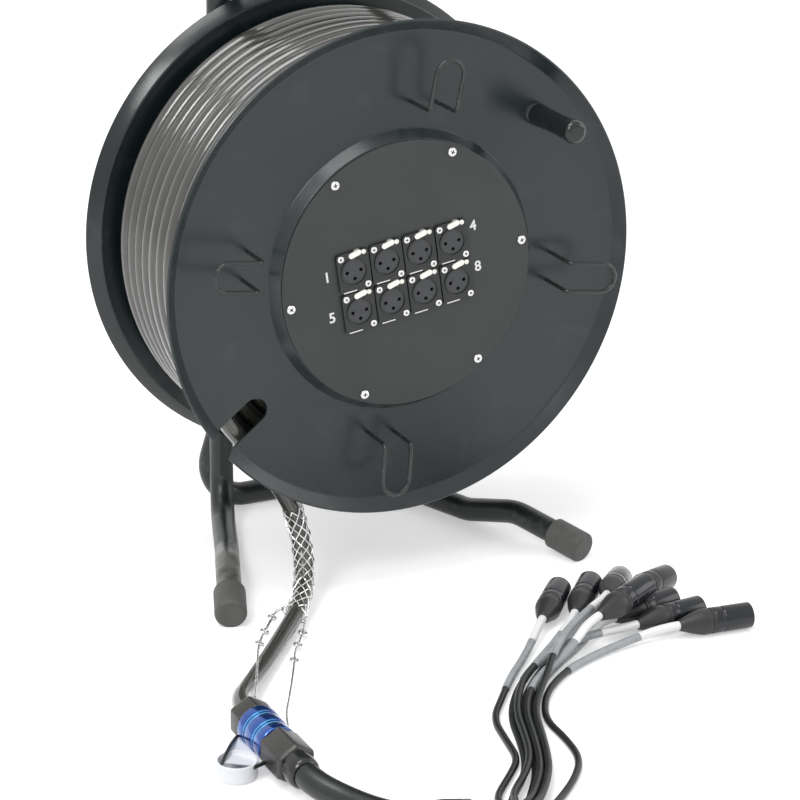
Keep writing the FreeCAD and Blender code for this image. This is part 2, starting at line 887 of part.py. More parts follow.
def crank():
    """The winding handle: a pin riveted through the front flange and a grip that turns on it."""
    across, along = polar(mm.crank_radius, mm.crank_angle)
    where = DRUM.multiply(Placement(vector(across, along, 0), Rotation()))
    collar_top = disc_face + mm.pin_collar
    chamber = mm.crank_reach - mm.grip_wall
    head_foot = chamber - mm.end_gap - mm.pin_head
    pin = turned("crank_pin", [
        (ZERO, mm.winding_half_width),
        (mm.pin_shank_radius, mm.winding_half_width),
        (mm.pin_shank_radius, disc_face),
        (mm.pin_collar_radius, disc_face),
        (mm.pin_collar_radius, collar_top),
        (mm.pin_radius, collar_top),
        (mm.pin_radius, head_foot),
        (mm.pin_head_radius, head_foot),
        (mm.pin_head_radius, head_foot + mm.pin_head),
        (ZERO, head_foot + mm.pin_head),
    ])
    keep(place(pin, where), "crank_pin")
    foot = collar_top + mm.end_gap
    round_end = mm.grip_radius / 2
    crown = mm.crank_reach - round_end
    middle = (foot + crown) / 2
    waist = arc_radius(crown / 2 - foot / 2, mm.grip_radius - mm.grip_waist)
    grip = turned("crank_grip", [
        (mm.pin_radius + mm.running_gap, foot),
        (mm.grip_radius, foot),
        (mm.grip_radius, crown),
        (mm.grip_radius - round_end, mm.crank_reach),
        (ZERO, mm.crank_reach),
        (ZERO, chamber),
        (mm.pin_head_radius + mm.running_gap, chamber),
        (mm.pin_head_radius + mm.running_gap, head_foot - mm.end_gap),
        (mm.pin_radius + mm.running_gap, head_foot - mm.end_gap),
    ], {1: (mm.grip_waist + waist, middle), 2: (mm.grip_radius - round_end, crown)})
    keep(place(grip, where), "crank_grip")


def arc_radius(half_chord, sagitta):
    """The radius of an arc from half its chord and its height."""
    return (half_chord * half_chord + sagitta * sagitta) / (sagitta * 2)


# The cable on the drum.
cable_radius = mm.cable_diameter / 2


def arc_from(start, heading, end):
    """The arc that leaves start along a heading and reaches end, and its heading there."""
    chord = end - start
    along = chord.normalize() if chord.Length else chord
    chord = end - start
    lean = heading.dot(along)
    side = heading - along * lean
    sagitta = chord.Length / 2 * math.tan(math.acos(min(1, lean)) / 2)
    middle = (start + end) / 2 + side.normalize() * sagitta
    return Part.Arc(start, middle, end).toShape(), along * (2 * lean) - heading


def biarc(start, first, end, last):
    """Two arcs that join two places with the headings given there."""
    chord = end - start
    total = first + last
    bend = 1 - first.dot(last)
    reach = (math.sqrt(chord.dot(total) ** 2 + 2 * bend * chord.dot(chord)) - chord.dot(total)) / (2 * bend)
    joint = (start + end) / 2 + (first - last) * (reach / 2)
    one, heading = arc_from(start, first, joint)
    two, _ = arc_from(joint, heading, end)
    return [one, two]


def least_gap(edges, diameter, clear):
    """The least gap between a wound tube and itself, measured on points along its path."""
    path = Part.Wire(edges)
    points = path.discretize(Number=GAP_POINTS)
    step = path.Length / (GAP_POINTS - 1)
    skip = int(clear / step)
    least = path.Length
    for index, point in enumerate(points):
        for other in points[index + skip:]:
            least = min(least, point.distanceToPoint(other))
    return least - diameter


GAP_POINTS = 1200


def winding_core():
    """The layers under the outer one, as one plain ring round the barrel."""
    inner = mm.barrel_radius + mm.core_gap
    outer = mm.lay_radius - cable_radius - mm.core_gap
    side = mm.winding_half_width - mm.side_gap
    return keep(place(ring("winding_core", inner, outer, -side, side), DRUM), "winding_core")


def winding_outer():
    """The drum's own outer layer: one unbroken tube in a steady helix."""
    radius, pitch = number(mm.lay_radius), number(mm.lay_pitch)
    turns = SIZES["lay_turns"]
    rise = pitch / (2 * math.pi * radius)

    def at(turn):
        angle = 2 * math.pi * turn + math.radians(number(mm.lay_start_angle))
        return Vector(radius * math.cos(angle), radius * math.sin(angle), pitch * turn - number(mm.lay_start))

    def heading(turn):
        angle = 2 * math.pi * turn + math.radians(number(mm.lay_start_angle))
        return Vector(-math.sin(angle), math.cos(angle), rise).normalize()

    edges = [Part.LineSegment(at(0) - heading(0) * number(mm.cable_diameter), at(0)).toShape()]
    for quarter in range(4 * turns):
        here, there = quarter / 4, (quarter + 1) / 4
        edges += biarc(at(here), heading(here), at(there), heading(there))
    end = at(turns)
    edges.append(Part.LineSegment(end, end + heading(turns) * number(mm.cable_diameter)).toShape())
    gap = least_gap(edges, number(mm.cable_diameter), math.pi * radius)
    length = sum(edge.Length for edge in edges)
    print(f"winding_outer: {turns} turns, length {length:.0f} mm, least gap to itself {gap:.2f} mm")
    return place(shaped("winding_outer", pipe(edges, number(cable_radius))), DRUM)


def ring_path():
    """The last turn, in the drum's frame: it stays with the stand, so that the drum can turn."""
    radius = number(mm.lay_radius + mm.ring_gap)
    height = number(mm.ring_plane)
    sag = number(mm.ring_sag)
    start, sagging, end = (math.radians(number(a)) for a in
                           (mm.ring_start_angle, mm.ring_sag_angle, mm.ring_end_angle))

    def at(angle):
        return Vector(radius * math.cos(angle), radius * math.sin(angle), height)

    def sagged(angle):
        lowered = Vector(math.cos(sagging), math.sin(sagging), 0) * -sag
        return at(angle) * ((radius + sag) / radius) + lowered + Vector(0, 0, height * (-sag / radius))

    halfway = (start + sagging) / 2
    edges = []
    for one, two in ((start, halfway), (halfway, sagging)):
        edges.append(Part.Arc(at(one), at((one + two) / 2), at(two)).toShape())
    edges.append(Part.Arc(at(sagging), sagged((sagging + end) / 2), sagged(end)).toShape())
    heading = Vector(-math.sin(end), math.cos(end), 0)
    return edges, sagged(end), heading


def last_turn():
    edges, _, _ = ring_path()
    length = sum(edge.Length for edge in edges)
    print(f"last_turn: length {length:.0f} mm")
    return place(shaped("last_turn", pipe(edges, number(cable_radius))), DRUM)


# The free cable. These routes are chosen by hand, in millimetres.
LEAD_ROUTE = [
    (-119, -55.75, 125),
    (-99, -56, 98),
    (-83, -56.5, 72),
    (-77.5, -59, 50),
    (-78, -67.5, 32),
    (-84, -82, 19),
    (-94, -98, 12),
    (-109, -117, 8.4),
    (-127, -138, 7),
    (-150, -166, 6.9),
    (-172, -193, 8),
    (-190, -216, 11.5),
    (-202, -232, 14.5),
]


def lead_path():
    _, end, heading = ring_path()
    start = DRUM.multVec(end)
    ahead = DRUM.Rotation.multVec(heading)
    first = start + ahead * (Vector(*LEAD_ROUTE[0]) - start).dot(ahead)
    points = [start, first] + [Vector(*p) for p in LEAD_ROUTE[1:]]
    return rounded(points + [connector_point(-mm.entry_approach), connector_point(mm.cable_entry)])


def connector_point(distance):
    """A point on the connector's axis, so far behind the front face of its collar."""
    return vector(mm.connector_x, mm.connector_y - distance, mm.body_radius + mm.floor_gap)


def connector_place(distance=ZERO):
    return facing(connector_point(distance), Vector(0, -1, 0))


def lead():
    edges, bends = lead_path()
    report("lead_cable", edges, bends)
    shaped("lead_cable", pipe(edges, number(cable_radius)))
    # the wire grip lies on the cable from under the flange to where it turns to the connector
    covered = edges[GRIP_SPAN[0]:GRIP_SPAN[1]]
    outer = number(cable_radius + mm.mesh_wall)
    shaped("pulling_grip", sleeve(covered, outer, number(cable_radius)))


GRIP_SPAN = (6, 15)
STRANDS = {
    "left": [
        (-111.5, -104.5, 12), (-119, -108, 14), (-134.8, -129.7, 13.5), (-148.8, -148.1, 14),
        (-160.7, -169.9, 17), (-182.5, -217.6, 22.5), (-203.5, -262, 29.8),
    ],
    "right": [
        (-100, -119.5, 7), (-104, -126, 5), (-114.5, -143, 4), (-127.3, -160.4, 5),
        (-143.8, -194.8, 8), (-163.6, -231.7, 9), (-184.6, -269, 9), (-193.5, -310.8, 8),
    ],
}
FERRULE_POINTS = (1, 2, 3)


def grip_strands():
    """Two pull wires that run from the wire grip to the connector's collar, with their ferrules."""
    wires = []
    rings = []
    for points in STRANDS.values():
        path = [Vector(*p) for p in points]
        edges, bends = rounded(path)
        report("grip strand", edges, bends)
        wires.append(pipe(edges, number(mm.strand_radius)))
        for after in FERRULE_POINTS:
            ahead = path[after + 1] - path[after]
            middle = (path[after + 1] + path[after]) / 2
            along = ahead.normalize()
            start = middle - along * number(mm.ferrule_length / 2)
            outer = Part.makeCylinder(number(mm.ferrule_radius), number(mm.ferrule_length), start, along)
            inner = Part.makeCylinder(number(mm.strand_radius), number(mm.ferrule_length), start, along)
            rings.append(outer.cut(inner))
    shaped("grip_wires", Part.makeCompound(wires))
    shaped("grip_rings", Part.makeCompound(rings))


# Multipin connector.
def hexagon(body, name, height, length, bore=None):
    """A six-sided nut on the connector's axis, with a corner on top."""
    outline = sketch(body, "XY_Plane", name, height=height)
    draw_outline(outline, [polar(mm.body_radius, 30 + 60 * corner) for corner in range(6)])
    if bore:
        draw_circle(outline, ZERO, ZERO, bore)
    return pad(body, outline, length)


def connector():
    near, far = mm.collar_length, mm.collar_length + mm.ring_length
    inner_shell = mm.ring_bore - mm.running_gap
    across_flats = mm.body_radius * math.cos(math.radians(30))
    # the cable enters through a flared mouth
    collar = turned("connector_collar", [
        (cable_radius + mm.entry_flare, ZERO),
        (mm.collar_start_radius, ZERO),
        (across_flats, mm.collar_bevel),
        (across_flats, near),
        (inner_shell, near),
        (inner_shell, far),
        (ZERO, far),
        (ZERO, mm.cable_entry),
        (cable_radius, mm.cable_entry),
        (cable_radius, mm.collar_bevel),
    ])
    hexagon(collar, "collar_hexagon", mm.collar_bevel, near - mm.collar_bevel, mm.ring_bore)
    keep(place(collar, connector_place()), "connector_collar")
    coupling = turned("coupling_ring", ring_outline(near + mm.end_gap, far - mm.end_gap))
    keep(place(coupling, connector_place()), "coupling_ring")
    nut = doc.addObject("PartDesign::Body", "connector_body")
    hexagon(nut, "body_hexagon", far, mm.body_length)
    keep(place(nut, connector_place()), "connector_body")
    back = far + mm.body_length
    half_length = mm.boot_length / 2
    boot_end = mm.trunk_diameter / 2 + mm.boot_lip
    curve = arc_radius(half_length, mm.boot_radius - boot_end)
    boot = turned("connector_boot", [
        (mm.trunk_diameter / 2, back),
        (mm.boot_radius, back),
        (mm.boot_radius, back + half_length),
        (boot_end, back + mm.boot_length),
        (mm.trunk_diameter / 2, back + mm.boot_length),
    ], {2: (mm.boot_radius - curve, back + half_length)})
    keep(place(boot, connector_place()), "connector_boot")


def ring_outline(start, end):
    """The coupling ring: a bored sleeve that narrows a little, with two pairs of grooves."""
    taper = mm.ring_end_radius - mm.ring_start_radius
    points = [(mm.ring_bore, start), (mm.ring_start_radius, start)]
    for share in GROOVE_SHARES:
        edge = start + (end - start) * share
        outer = mm.ring_start_radius + taper * share
        floor = outer - mm.groove_depth
        far_edge = edge + mm.groove_width
        points += [(outer, edge), (floor, edge), (floor, far_edge), (outer, far_edge)]
    return points + [(mm.ring_end_radius, end), (mm.ring_bore, end)]


GROOVE_SHARES = (0.22, 0.31, 0.62, 0.71)


# The cap's strap runs from the connector's collar to the cap's rim, and a link from the cap to the body.
STRAP_ROUTE = [
    (-221.4, -272.5, 8), (-229, -284, 12), (-238, -298, 15.5), (-246, -309, 15.5), (-250.2, -314, 13.8),
]
LINK_ROUTE = [(-231, -322.5, 10.5), (-221.4, -319, 10.5)]


def dust_cap():
    radius, wall, height = mm.cap_radius, mm.cap_wall, mm.cap_height
    cap = turned("dust_cap", [
        (ZERO, ZERO), (radius, ZERO), (radius, height),
        (radius - wall, height), (radius - wall, wall), (ZERO, wall),
    ])
    keep(place(cap, Placement(vector(mm.cap_x, mm.cap_y, 0), Rotation())), "dust_cap")
    edges, bends = rounded([Vector(*p) for p in STRAP_ROUTE])
    report("cap_strap", edges, bends)
    link = Part.LineSegment(*(Vector(*p) for p in LINK_ROUTE)).toShape()
    radius = number(mm.strap_radius)
    shaped("cap_strap", Part.makeCompound([pipe(edges, radius), pipe([link], radius)]))


# Fan-out: a thick trunk, a moulded breakout and eight tails with plugs.
TRUNK_ROUTE = [
    (-208, -356, 15.6), (-204, -370, 13.4), (-195.5, -385.5, 11),
    (-187.5, -402, 10.6), (-180.5, -415.5, 11.4),
]

# The middle line of the tails on the floor, from the breakout's nose, and the pitch between tails there.
BUNDLE = [
    (-132, -447), (-122.3, -451.3), (-108.8, -450.7), (-93.4, -443), (-81.4, -427.2),
    (-60, -399), (-49, -376), (-39, -350), (-29, -321), (-12, -295),
]
SPREAD = [5.8, 5.8, 5.8, 5.8, 5.8, 5.8, 5.8, 6.0, 6.6, 7.2]

# How far the tails have spread, at each station, from their places at the nose to their lanes.
FAN_SHARES = [0, 0.1, 0.25, 0.5, 1, 1, 1, 1, 1, 1]
NOSE = {1: (1.5, -0.5), 2: (0.5, -0.5), 6: (-0.5, -0.5), 5: (-1.5, -0.5),
        7: (1.5, 0.5), 4: (0.5, 0.5), 3: (-0.5, 0.5), 8: (-1.5, 0.5)}
LANES = {1: (2, 0), 2: (1, 0), 6: (0, 0), 5: (-1, 0), 8: (-2, 0), 7: (0.5, 1), 4: (-0.5, 1), 3: (-1.5, 1)}
LEVEL_SHARE = 0.88

# Tails that stray from their lanes: so many millimetres to the left at each station.
STRAY = {
    1: [0, 0.8, 1.4, 3.5, 10.3, 6, -1, 3, 6, 1],
    2: [0, 0.4, 1.3, 3.6, 6, 2, 0, 0, 0, 0],
    7: [0, 0, 0, 0, 8, 3, 0, 0, 0, 0],
    3: [0, 0, 0.5, 0, 0, 0, 0, 0, 0, 0],
    8: [0, -1, -4, -4, -6, -14, -20, -14, -4, 0],
}

# Each plug's cable entry, its heading in degrees, how far its start is lifted and its rise over its length.
PLUGS = {
    1: ((57.7, -196.2), 48.3, 0, 0),
    2: ((85.1, -196.7), 48.4, 0, 0),
    3: ((111, -198.7), 49, 11, -11),
    4: ((82.1, -236.7), 22.6, 15.2, 5.3),
    5: ((107.8, -216.4), 10.9, 0, 0),
    6: ((132.5, -196.8), 30, 9, -9),
    7: ((117, -233.6), 5.7, 0, 0),
    8: ((144.3, -248.1), -5.2, 0, 0),
}

# The tails between the bundle and the plugs.
FAN_ROUTES = {
    1: [(-5, -262, 3.4), (17, -240, 3.8), (34, -222, 6)],
    2: [(4, -266, 3.4), (30, -243.5, 3.8), (54, -224.5, 5.5)],
    3: [(10, -287, 13), (30, -262, 18), (57, -236, 19.5), (84, -221, 24)],
    4: [(12, -277, 9.9), (33, -263, 10.2), (52, -252.5, 15)],
    5: [(12, -277, 3.4), (36, -257, 3.5), (62, -240, 4), (80, -227, 6)],
    6: [(8, -273, 3.4), (34, -249, 3.5), (60, -231, 5), (82, -217.5, 13), (101.5, -214, 17)],
    7: [(2, -272, 9.6), (26, -255, 10.5), (51, -243, 11.5), (77, -238, 11.5)],
    8: [(17, -284, 3.4), (40, -267, 3.5), (70, -254.5, 3.8), (101, -247.5, 5.5)],
}
ENTRY_RUN = 14
SLEEVE_LIFT = 0.7


def nose_place():
    """The breakout's nose, and the way that it points."""
    height = number(mm.breakout_radius + mm.floor_gap)
    nose = Vector(*BUNDLE[0], height)
    return nose, (Vector(*BUNDLE[1], height) - nose).normalize()


def trunk_path():
    nose, ahead = nose_place()
    end = nose - ahead * number(mm.breakout_length - mm.breakout_entry)
    last = end - ahead * (number(mm.breakout_entry) + TRUNK_LEAD)
    start = connector_point(mm.collar_length + mm.ring_length + mm.body_length)
    return rounded([start] + [Vector(*p) for p in TRUNK_ROUTE] + [last, end])


TRUNK_LEAD = 8.5


def fan_out():
    edges, bends = trunk_path()
    report("fanout_trunk", edges, bends)
    shaped("fanout_trunk", pipe(edges, number(mm.trunk_diameter) / 2))
    nose, ahead = nose_place()
    inner, outer = mm.trunk_diameter / 2, mm.breakout_radius
    breakout = turned("breakout", [
        (ZERO, mm.breakout_entry),
        (inner, mm.breakout_entry),
        (inner, ZERO),
        (mm.breakout_start_radius, ZERO),
        (outer, mm.breakout_entry),
        (outer, mm.breakout_length),
        (ZERO, mm.breakout_length),
    ])
    keep(place(breakout, facing(nose - ahead * number(mm.breakout_length), ahead)), "breakout")


def plug_axis(index):
    """Where a plug's boot begins, and the way that the plug points."""
    (x, y), heading, lift, rise = PLUGS[index]
    length = number(mm.plug_boot_length + mm.plug_shell_length)
    turn = math.radians(heading)
    flat = math.sqrt(length ** 2 - rise ** 2)
    ahead = Vector(flat * math.cos(turn), flat * math.sin(turn), rise).normalize()
    return Vector(x, y, number(mm.plug_radius + mm.floor_gap) + lift), ahead


def bundle_point(index, station):
    """A tail's place in the bundle, beside the bundle's middle line."""
    here = Vector(*BUNDLE[station], 0)
    before = Vector(*BUNDLE[max(station - 1, 0)], 0)
    after = Vector(*BUNDLE[min(station + 1, len(BUNDLE) - 1)], 0)
    ahead = (after - before).normalize()
    left = Vector(-ahead.y, ahead.x, 0)
    pitch = SPREAD[station]
    lane, level = LANES[index]
    column, row = NOSE[index]
    floor = number(mm.tail_diameter / 2 + mm.floor_gap) + (SLEEVE_LIFT if station == len(BUNDLE) - 1 else 0)
    nose, _ = nose_place()
    share = FAN_SHARES[station]
    across = pitch * (column * (1 - share) + lane * share) + STRAY.get(index, [0] * len(BUNDLE))[station]
    height = (nose.z + row * pitch) * (1 - share) + (floor + level * LEVEL_SHARE * pitch) * share
    return here + left * across + Vector(0, 0, height)


def tail_path(index):
    entry, ahead = plug_axis(index)
    points = [bundle_point(index, station) for station in range(len(BUNDLE))]
    points += [Vector(*p) for p in FAN_ROUTES[index]]
    return rounded(points + [entry - ahead * ENTRY_RUN, entry])


def stretch(edges, start, end):
    """The part of a path between two lengths along it."""
    covered = []
    done = 0
    for edge in edges:
        low, high = max(start - done, 0), min(end - done, edge.Length)
        if high > low:
            rate = (edge.LastParameter - edge.FirstParameter) / edge.Length
            first = edge.FirstParameter
            covered.append(edge.Curve.toShape(first + low * rate, first + high * rate))
        done += edge.Length
    return covered


def tails():
    whites = []
    greys = []
    for index in sorted(LANES):
        edges, bends = tail_path(index)
        report(f"tail_{index}", edges, bends)
        radius = number(mm.tail_diameter) / 2
        shaped(f"tail_{index}", pipe(edges, radius))
        length = sum(edge.Length for edge in edges)
        white = length - number(mm.white_sleeve_length)
        grey = white - number(mm.grey_sleeve_length)
        whites.append(sleeve(stretch(edges, white, length), number(mm.white_sleeve_radius), radius))
        greys.append(sleeve(stretch(edges, grey, white), number(mm.grey_sleeve_radius), radius))
    shaped("white_sleeves", Part.makeCompound(whites))
    shaped("grey_sleeves", Part.makeCompound(greys))


def plugs():
    boot = mm.plug_boot_length
    shell_end = boot + mm.plug_shell_length
    boot_master = turned("plug_boot", [
        (mm.tail_diameter / 2, ZERO),
        (mm.plug_neck_radius, ZERO),
        (mm.plug_radius, boot - mm.plug_radius),
        (mm.plug_radius, boot),
        (mm.tail_diameter / 2, boot),
    ])
    shell_master = turned("plug_shell", [
        (ZERO, boot),
        (mm.plug_radius, boot),
        (mm.plug_radius, shell_end),
        (mm.plug_bore, shell_end),
        (mm.plug_bore, shell_end - mm.plug_pocket),
        (ZERO, shell_end - mm.plug_pocket),
    ])
    places = [facing(*plug_axis(index)) for index in sorted(PLUGS)]
    copies("plug_boots", boot_master, places)
    copies("plug_shells", shell_master, places)


front_flange()
rear_flange()
barrel()
hub()
axle()
frame_tube()
rear_brace()
hub_plate()
foot_caps()
panel()
panel_screws()
socket_shells()
socket_inserts()
socket_screws()
latches()
hooks()
crank()
winding_core()
winding_outer()
last_turn()
lead()
grip_strands()
connector()
dust_cap()
fan_out()
tails()
plugs()

doc.recompute()
for thing in doc.Objects:
    assert not {"Invalid", "Error"} & set(thing.State), f"{thing.Label} is in error"
for part in PARTS:
    assert not part.Shape.isNull() and part.Shape.isValid(), f"{part.Label} has no good shape"
for part in PARTS:
    part.Shape.exportStep(f"parts/{part.Label}.step")
print(f"{len(PARTS)} parts written")
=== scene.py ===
# %% [markdown]
# # A stage cable drum, dressed around its imported CAD model
# A steel drum turns on a tube stand. It is wound with multicore audio cable, whose free end
# comes off the drum, goes through a wire pulling grip to a multipin connector, and fans out into
# eight tails with plugs. Everything is in metres, +Z up, with the socket panel facing -Y.
# The imported model gives every place that it can, so first it is loaded.

# %% Load the imported model
import math
import random

import bpy
from mathutils import Matrix, Vector


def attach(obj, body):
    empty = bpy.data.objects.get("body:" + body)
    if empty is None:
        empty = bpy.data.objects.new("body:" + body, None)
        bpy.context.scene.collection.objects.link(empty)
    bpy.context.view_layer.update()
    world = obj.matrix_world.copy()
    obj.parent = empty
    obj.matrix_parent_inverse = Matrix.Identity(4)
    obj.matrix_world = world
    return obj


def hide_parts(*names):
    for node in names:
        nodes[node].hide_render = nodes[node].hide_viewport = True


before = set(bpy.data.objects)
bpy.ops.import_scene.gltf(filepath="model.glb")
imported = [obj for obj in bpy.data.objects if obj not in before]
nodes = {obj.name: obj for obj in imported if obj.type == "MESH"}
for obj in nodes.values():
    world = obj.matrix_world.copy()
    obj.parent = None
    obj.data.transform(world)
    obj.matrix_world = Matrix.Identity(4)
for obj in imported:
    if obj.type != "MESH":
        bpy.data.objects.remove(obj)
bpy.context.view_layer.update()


def spun(angle, axis):
    """A turn about one of the axes."""
    return Matrix.Rotation(angle, 4, axis)


# %% [markdown]
# ## Camera
# The photograph is taken from the left and a little above with a long lens, so the drum's two
# flanges look almost equally large. The camera is turned round the line of sight by one degree,
# which a track-to constraint can't do, so its axes are worked out and set as a matrix.

# %% Camera
AZIMUTH = math.radians(-26.81)
ELEVATION = math.radians(20.40)
ROLL = math.radians(1.01)
DISTANCE = 2.20525
TARGET = Vector((0.03852, 0.00625, 0.11699))
FOCAL_SHARE = 2808.5 / 800   # focal length as a share of the picture's width

away = Vector(
    (math.sin(AZIMUTH) * math.cos(ELEVATION), -math.cos(AZIMUTH) * math.cos(ELEVATION),
    math.sin(ELEVATION)))
right = (-away).cross(Vector((0, 0, 1))).normalized()
above = right.cross(-away)
tilted_right = right * math.cos(ROLL) + above * math.sin(ROLL)
tilted_above = above * math.cos(ROLL) - right * math.sin(ROLL)
bpy.ops.object.camera_add()
camera = bpy.context.object
camera.matrix_world = Matrix.Translation(TARGET + away * DISTANCE) @ Matrix(
    (tilted_right, tilted_above, away)).transposed().to_4x4()
camera.data.sensor_width = 36
camera.data.lens = FOCAL_SHARE * camera.data.sensor_width
camera.data.clip_end = 20
bpy.context.scene.camera = camera
bpy.context.scene.view_settings.view_transform = "Standard"

# %% [markdown]
# ## Floor and light
# A product shot on white. The floor is a real surface, so that the stand and the cable drop their
# shadows on it; a little white is added for the camera alone, which leaves the light on the drum
# unchanged. Big area lamps give black paint the wide soft highlights that show its shape.

# %% Floor
FLOOR_SIZE = 14
FLOOR_WHITE = 0.9
FLOOR_LIFT = 0.42


def seen_rays(tree, rays):
    """One for a ray that the camera, a mirror or glass sends, and nothing for light's own rays."""
    either = rays.outputs["Is Camera Ray"]
    for other in ("Is Glossy Ray", "Is Transmission Ray"):
        most = tree.nodes.new("ShaderNodeMath")
        most.operation = "MAXIMUM"
        tree.links.new(either, most.inputs[0])
        tree.links.new(rays.outputs[other], most.inputs[1])
        either = most.outputs[0]
    return either


def white_for_camera(tree, shader):
    """The same shader, with white added where the camera or a mirror sees it."""
    rays = tree.nodes.new("ShaderNodeLightPath")
    seen = seen_rays(tree, rays)
    glow = tree.nodes.new("ShaderNodeEmission")
    lift = tree.nodes.new("ShaderNodeMath")
    lift.operation = "MULTIPLY"
    lift.inputs[1].default_value = FLOOR_LIFT
    tree.links.new(seen, lift.inputs[0])
    tree.links.new(lift.outputs[0], glow.inputs["Strength"])
    both = tree.nodes.new("ShaderNodeAddShader")
    tree.links.new(shader, both.inputs[0])
    tree.links.new(glow.outputs[0], both.inputs[1])
    return both.outputs[0]


bpy.ops.mesh.primitive_plane_add(size=FLOOR_SIZE)
floor = bpy.context.object
floor.name = "floor"
floor_white = bpy.data.materials.new("floor_white")
floor_white.use_nodes = True
shader = floor_white.node_tree.nodes["Principled BSDF"]
shader.inputs["Base Color"].default_value = (FLOOR_WHITE, FLOOR_WHITE, FLOOR_WHITE, 1)
shader.inputs["Roughness"].default_value = 0.9
surface = floor_white.node_tree.nodes["Material Output"].inputs["Surface"]
floor_white.node_tree.links.new(white_for_camera(floor_white.node_tree, shader.outputs[0]), surface)
floor.data.materials.append(floor_white)

# %% World and lamps
WORLD_LIGHT = 0.62

world = bpy.data.worlds.new("studio")
bpy.context.scene.world = world
world.use_nodes = True
tree = world.node_tree
tree.nodes["Background"].inputs["Color"].default_value = (1, 1, 1, 1)
rays = tree.nodes.new("ShaderNodeLightPath")
level = tree.nodes.new("ShaderNodeMapRange")
level.inputs["To Min"].default_value = WORLD_LIGHT
level.inputs["To Max"].default_value = 1
tree.links.new(seen_rays(tree, rays), level.inputs["Value"])
tree.links.new(level.outputs[0], tree.nodes["Background"].inputs["Strength"])


def lamp(name, place, aim, size, power):
    """A soft square lamp that looks at a point."""
    bpy.ops.object.light_add(type="AREA", location=place)
    made = bpy.context.object
    made.name = name
    made.data.size = size
    made.data.energy = power
    made.rotation_euler = (Vector(aim) - Vector(place)).to_track_quat("-Z", "Y").to_euler()


DRUM_MIDDLE = (0, 0, 0.25)
lamp("key", (-1.7, -1.3, 2.0), DRUM_MIDDLE, 0.8, 22)
lamp("side", (2.2, -1.0, 1.2), DRUM_MIDDLE, 1.3, 10)
lamp("top", (-0.7, -0.1, 2.4), DRUM_MIDDLE, 1.2, 24)

# %% [markdown]
# ## Finishes
# Almost everything here is black, so the finishes differ in gloss, grain and relief more than in
# colour. One helper makes a Principled material with noise behind its colour, its roughness and its
# bump, and each finish below states the numbers for its own real surface. The noise is read on
# Object coordinates, which stay with a piece when the drum turns.

# %% A finish with grain
def finish(name, colour, roughness, metallic=0.0, coat=0.0, spread=0.25, patch=40, grain=900,
    relief=0.05, depth=0.0002,
           haze=0.08, worn=None, worn_share=0.5, rubbed_and_sheen=None):
    """A material whose colour and gloss vary in soft patches and whose bump is a fine grain."""
    made = bpy.data.materials.new(name)
    made.use_nodes = True
    tree = made.node_tree
    shader = tree.nodes["Principled BSDF"]
    shader.inputs["Metallic"].default_value = metallic
    shader.inputs["Coat Weight"].default_value = coat
    shader.inputs["Coat Roughness"].default_value = 0.12
    where = tree.nodes.new("ShaderNodeTexCoord")

    def noise(scale, detail):
        texture = tree.nodes.new("ShaderNodeTexNoise")
        texture.inputs["Scale"].default_value = scale
        texture.inputs["Detail"].default_value = detail
        tree.links.new(where.outputs["Object"], texture.inputs["Vector"])
        return texture.outputs["Fac"]

    patches = noise(patch, 4)
    mixed = tree.nodes.new("ShaderNodeMix")
    mixed.data_type = "RGBA"
    low = [c * (1 - spread) for c in colour]
    high = [min(1, c * (1 + spread)) for c in colour]
    mixed.inputs["A"].default_value = (*low, 1)
    mixed.inputs["B"].default_value = (*high, 1)
    tree.links.new(patches, mixed.inputs["Factor"])
    tint = mixed.outputs["Result"]

    def ramp(value, low, high, most):
        """A smooth step of a value, from nothing at low to the most at high."""
        step = tree.nodes.new("ShaderNodeMapRange")
        step.interpolation_type = "SMOOTHSTEP"
        step.inputs["From Min"].default_value = low
        step.inputs["From Max"].default_value = high
        step.inputs["To Max"].default_value = most
        tree.links.new(value, step.inputs["Value"])
        return step.outputs[0]

    def laid_over(under, over, share):
        """One colour laid over another by a share."""
        both = tree.nodes.new("ShaderNodeMix")
        both.data_type = "RGBA"
        both.inputs["B"].default_value = (*over, 1)
        tree.links.new(share, both.inputs["Factor"])
        tree.links.new(under, both.inputs["A"])
        return both.outputs["Result"]

    if worn:
        tint = laid_over(tint, worn, ramp(noise(patch * 3, 8), 0.57, 0.72, worn_share))
    # Rubbed paint and painted sheen: a paler colour laid round one spot in streaky noise, partly worn
    # paint and partly a painted highlight.
    if rubbed_and_sheen:
        spot, reach, shown = rubbed_and_sheen
        near = tree.nodes.new("ShaderNodeVectorMath")
        near.operation = "DISTANCE"
        near.inputs[1].default_value = spot
        tree.links.new(where.outputs["Object"], near.inputs[0])
        streaks = tree.nodes.new("ShaderNodeMath")
        streaks.operation = "MULTIPLY"
        tree.links.new(ramp(near.outputs["Value"], reach, reach * 0.4, 1), streaks.inputs[0])
        tree.links.new(ramp(noise(60, 6), 0.25, 0.7, 0.9), streaks.inputs[1])
        tint = laid_over(tint, shown, streaks.outputs[0])
    tree.links.new(tint, shader.inputs["Base Color"])
    gloss = tree.nodes.new("ShaderNodeMapRange")
    gloss.inputs["To Min"].default_value = max(0.03, roughness - haze)
    gloss.inputs["To Max"].default_value = min(1, roughness + haze)
    tree.links.new(noise(patch * 2.5, 5), gloss.inputs["Value"])
    tree.links.new(gloss.outputs[0], shader.inputs["Roughness"])
    bump = tree.nodes.new("ShaderNodeBump")
    bump.inputs["Strength"].default_value = relief
    bump.inputs["Distance"].default_value = depth
    tree.links.new(noise(grain, 3), bump.inputs["Height"])
    tree.links.new(bump.outputs["Normal"], shader.inputs["Normal"])
    return made


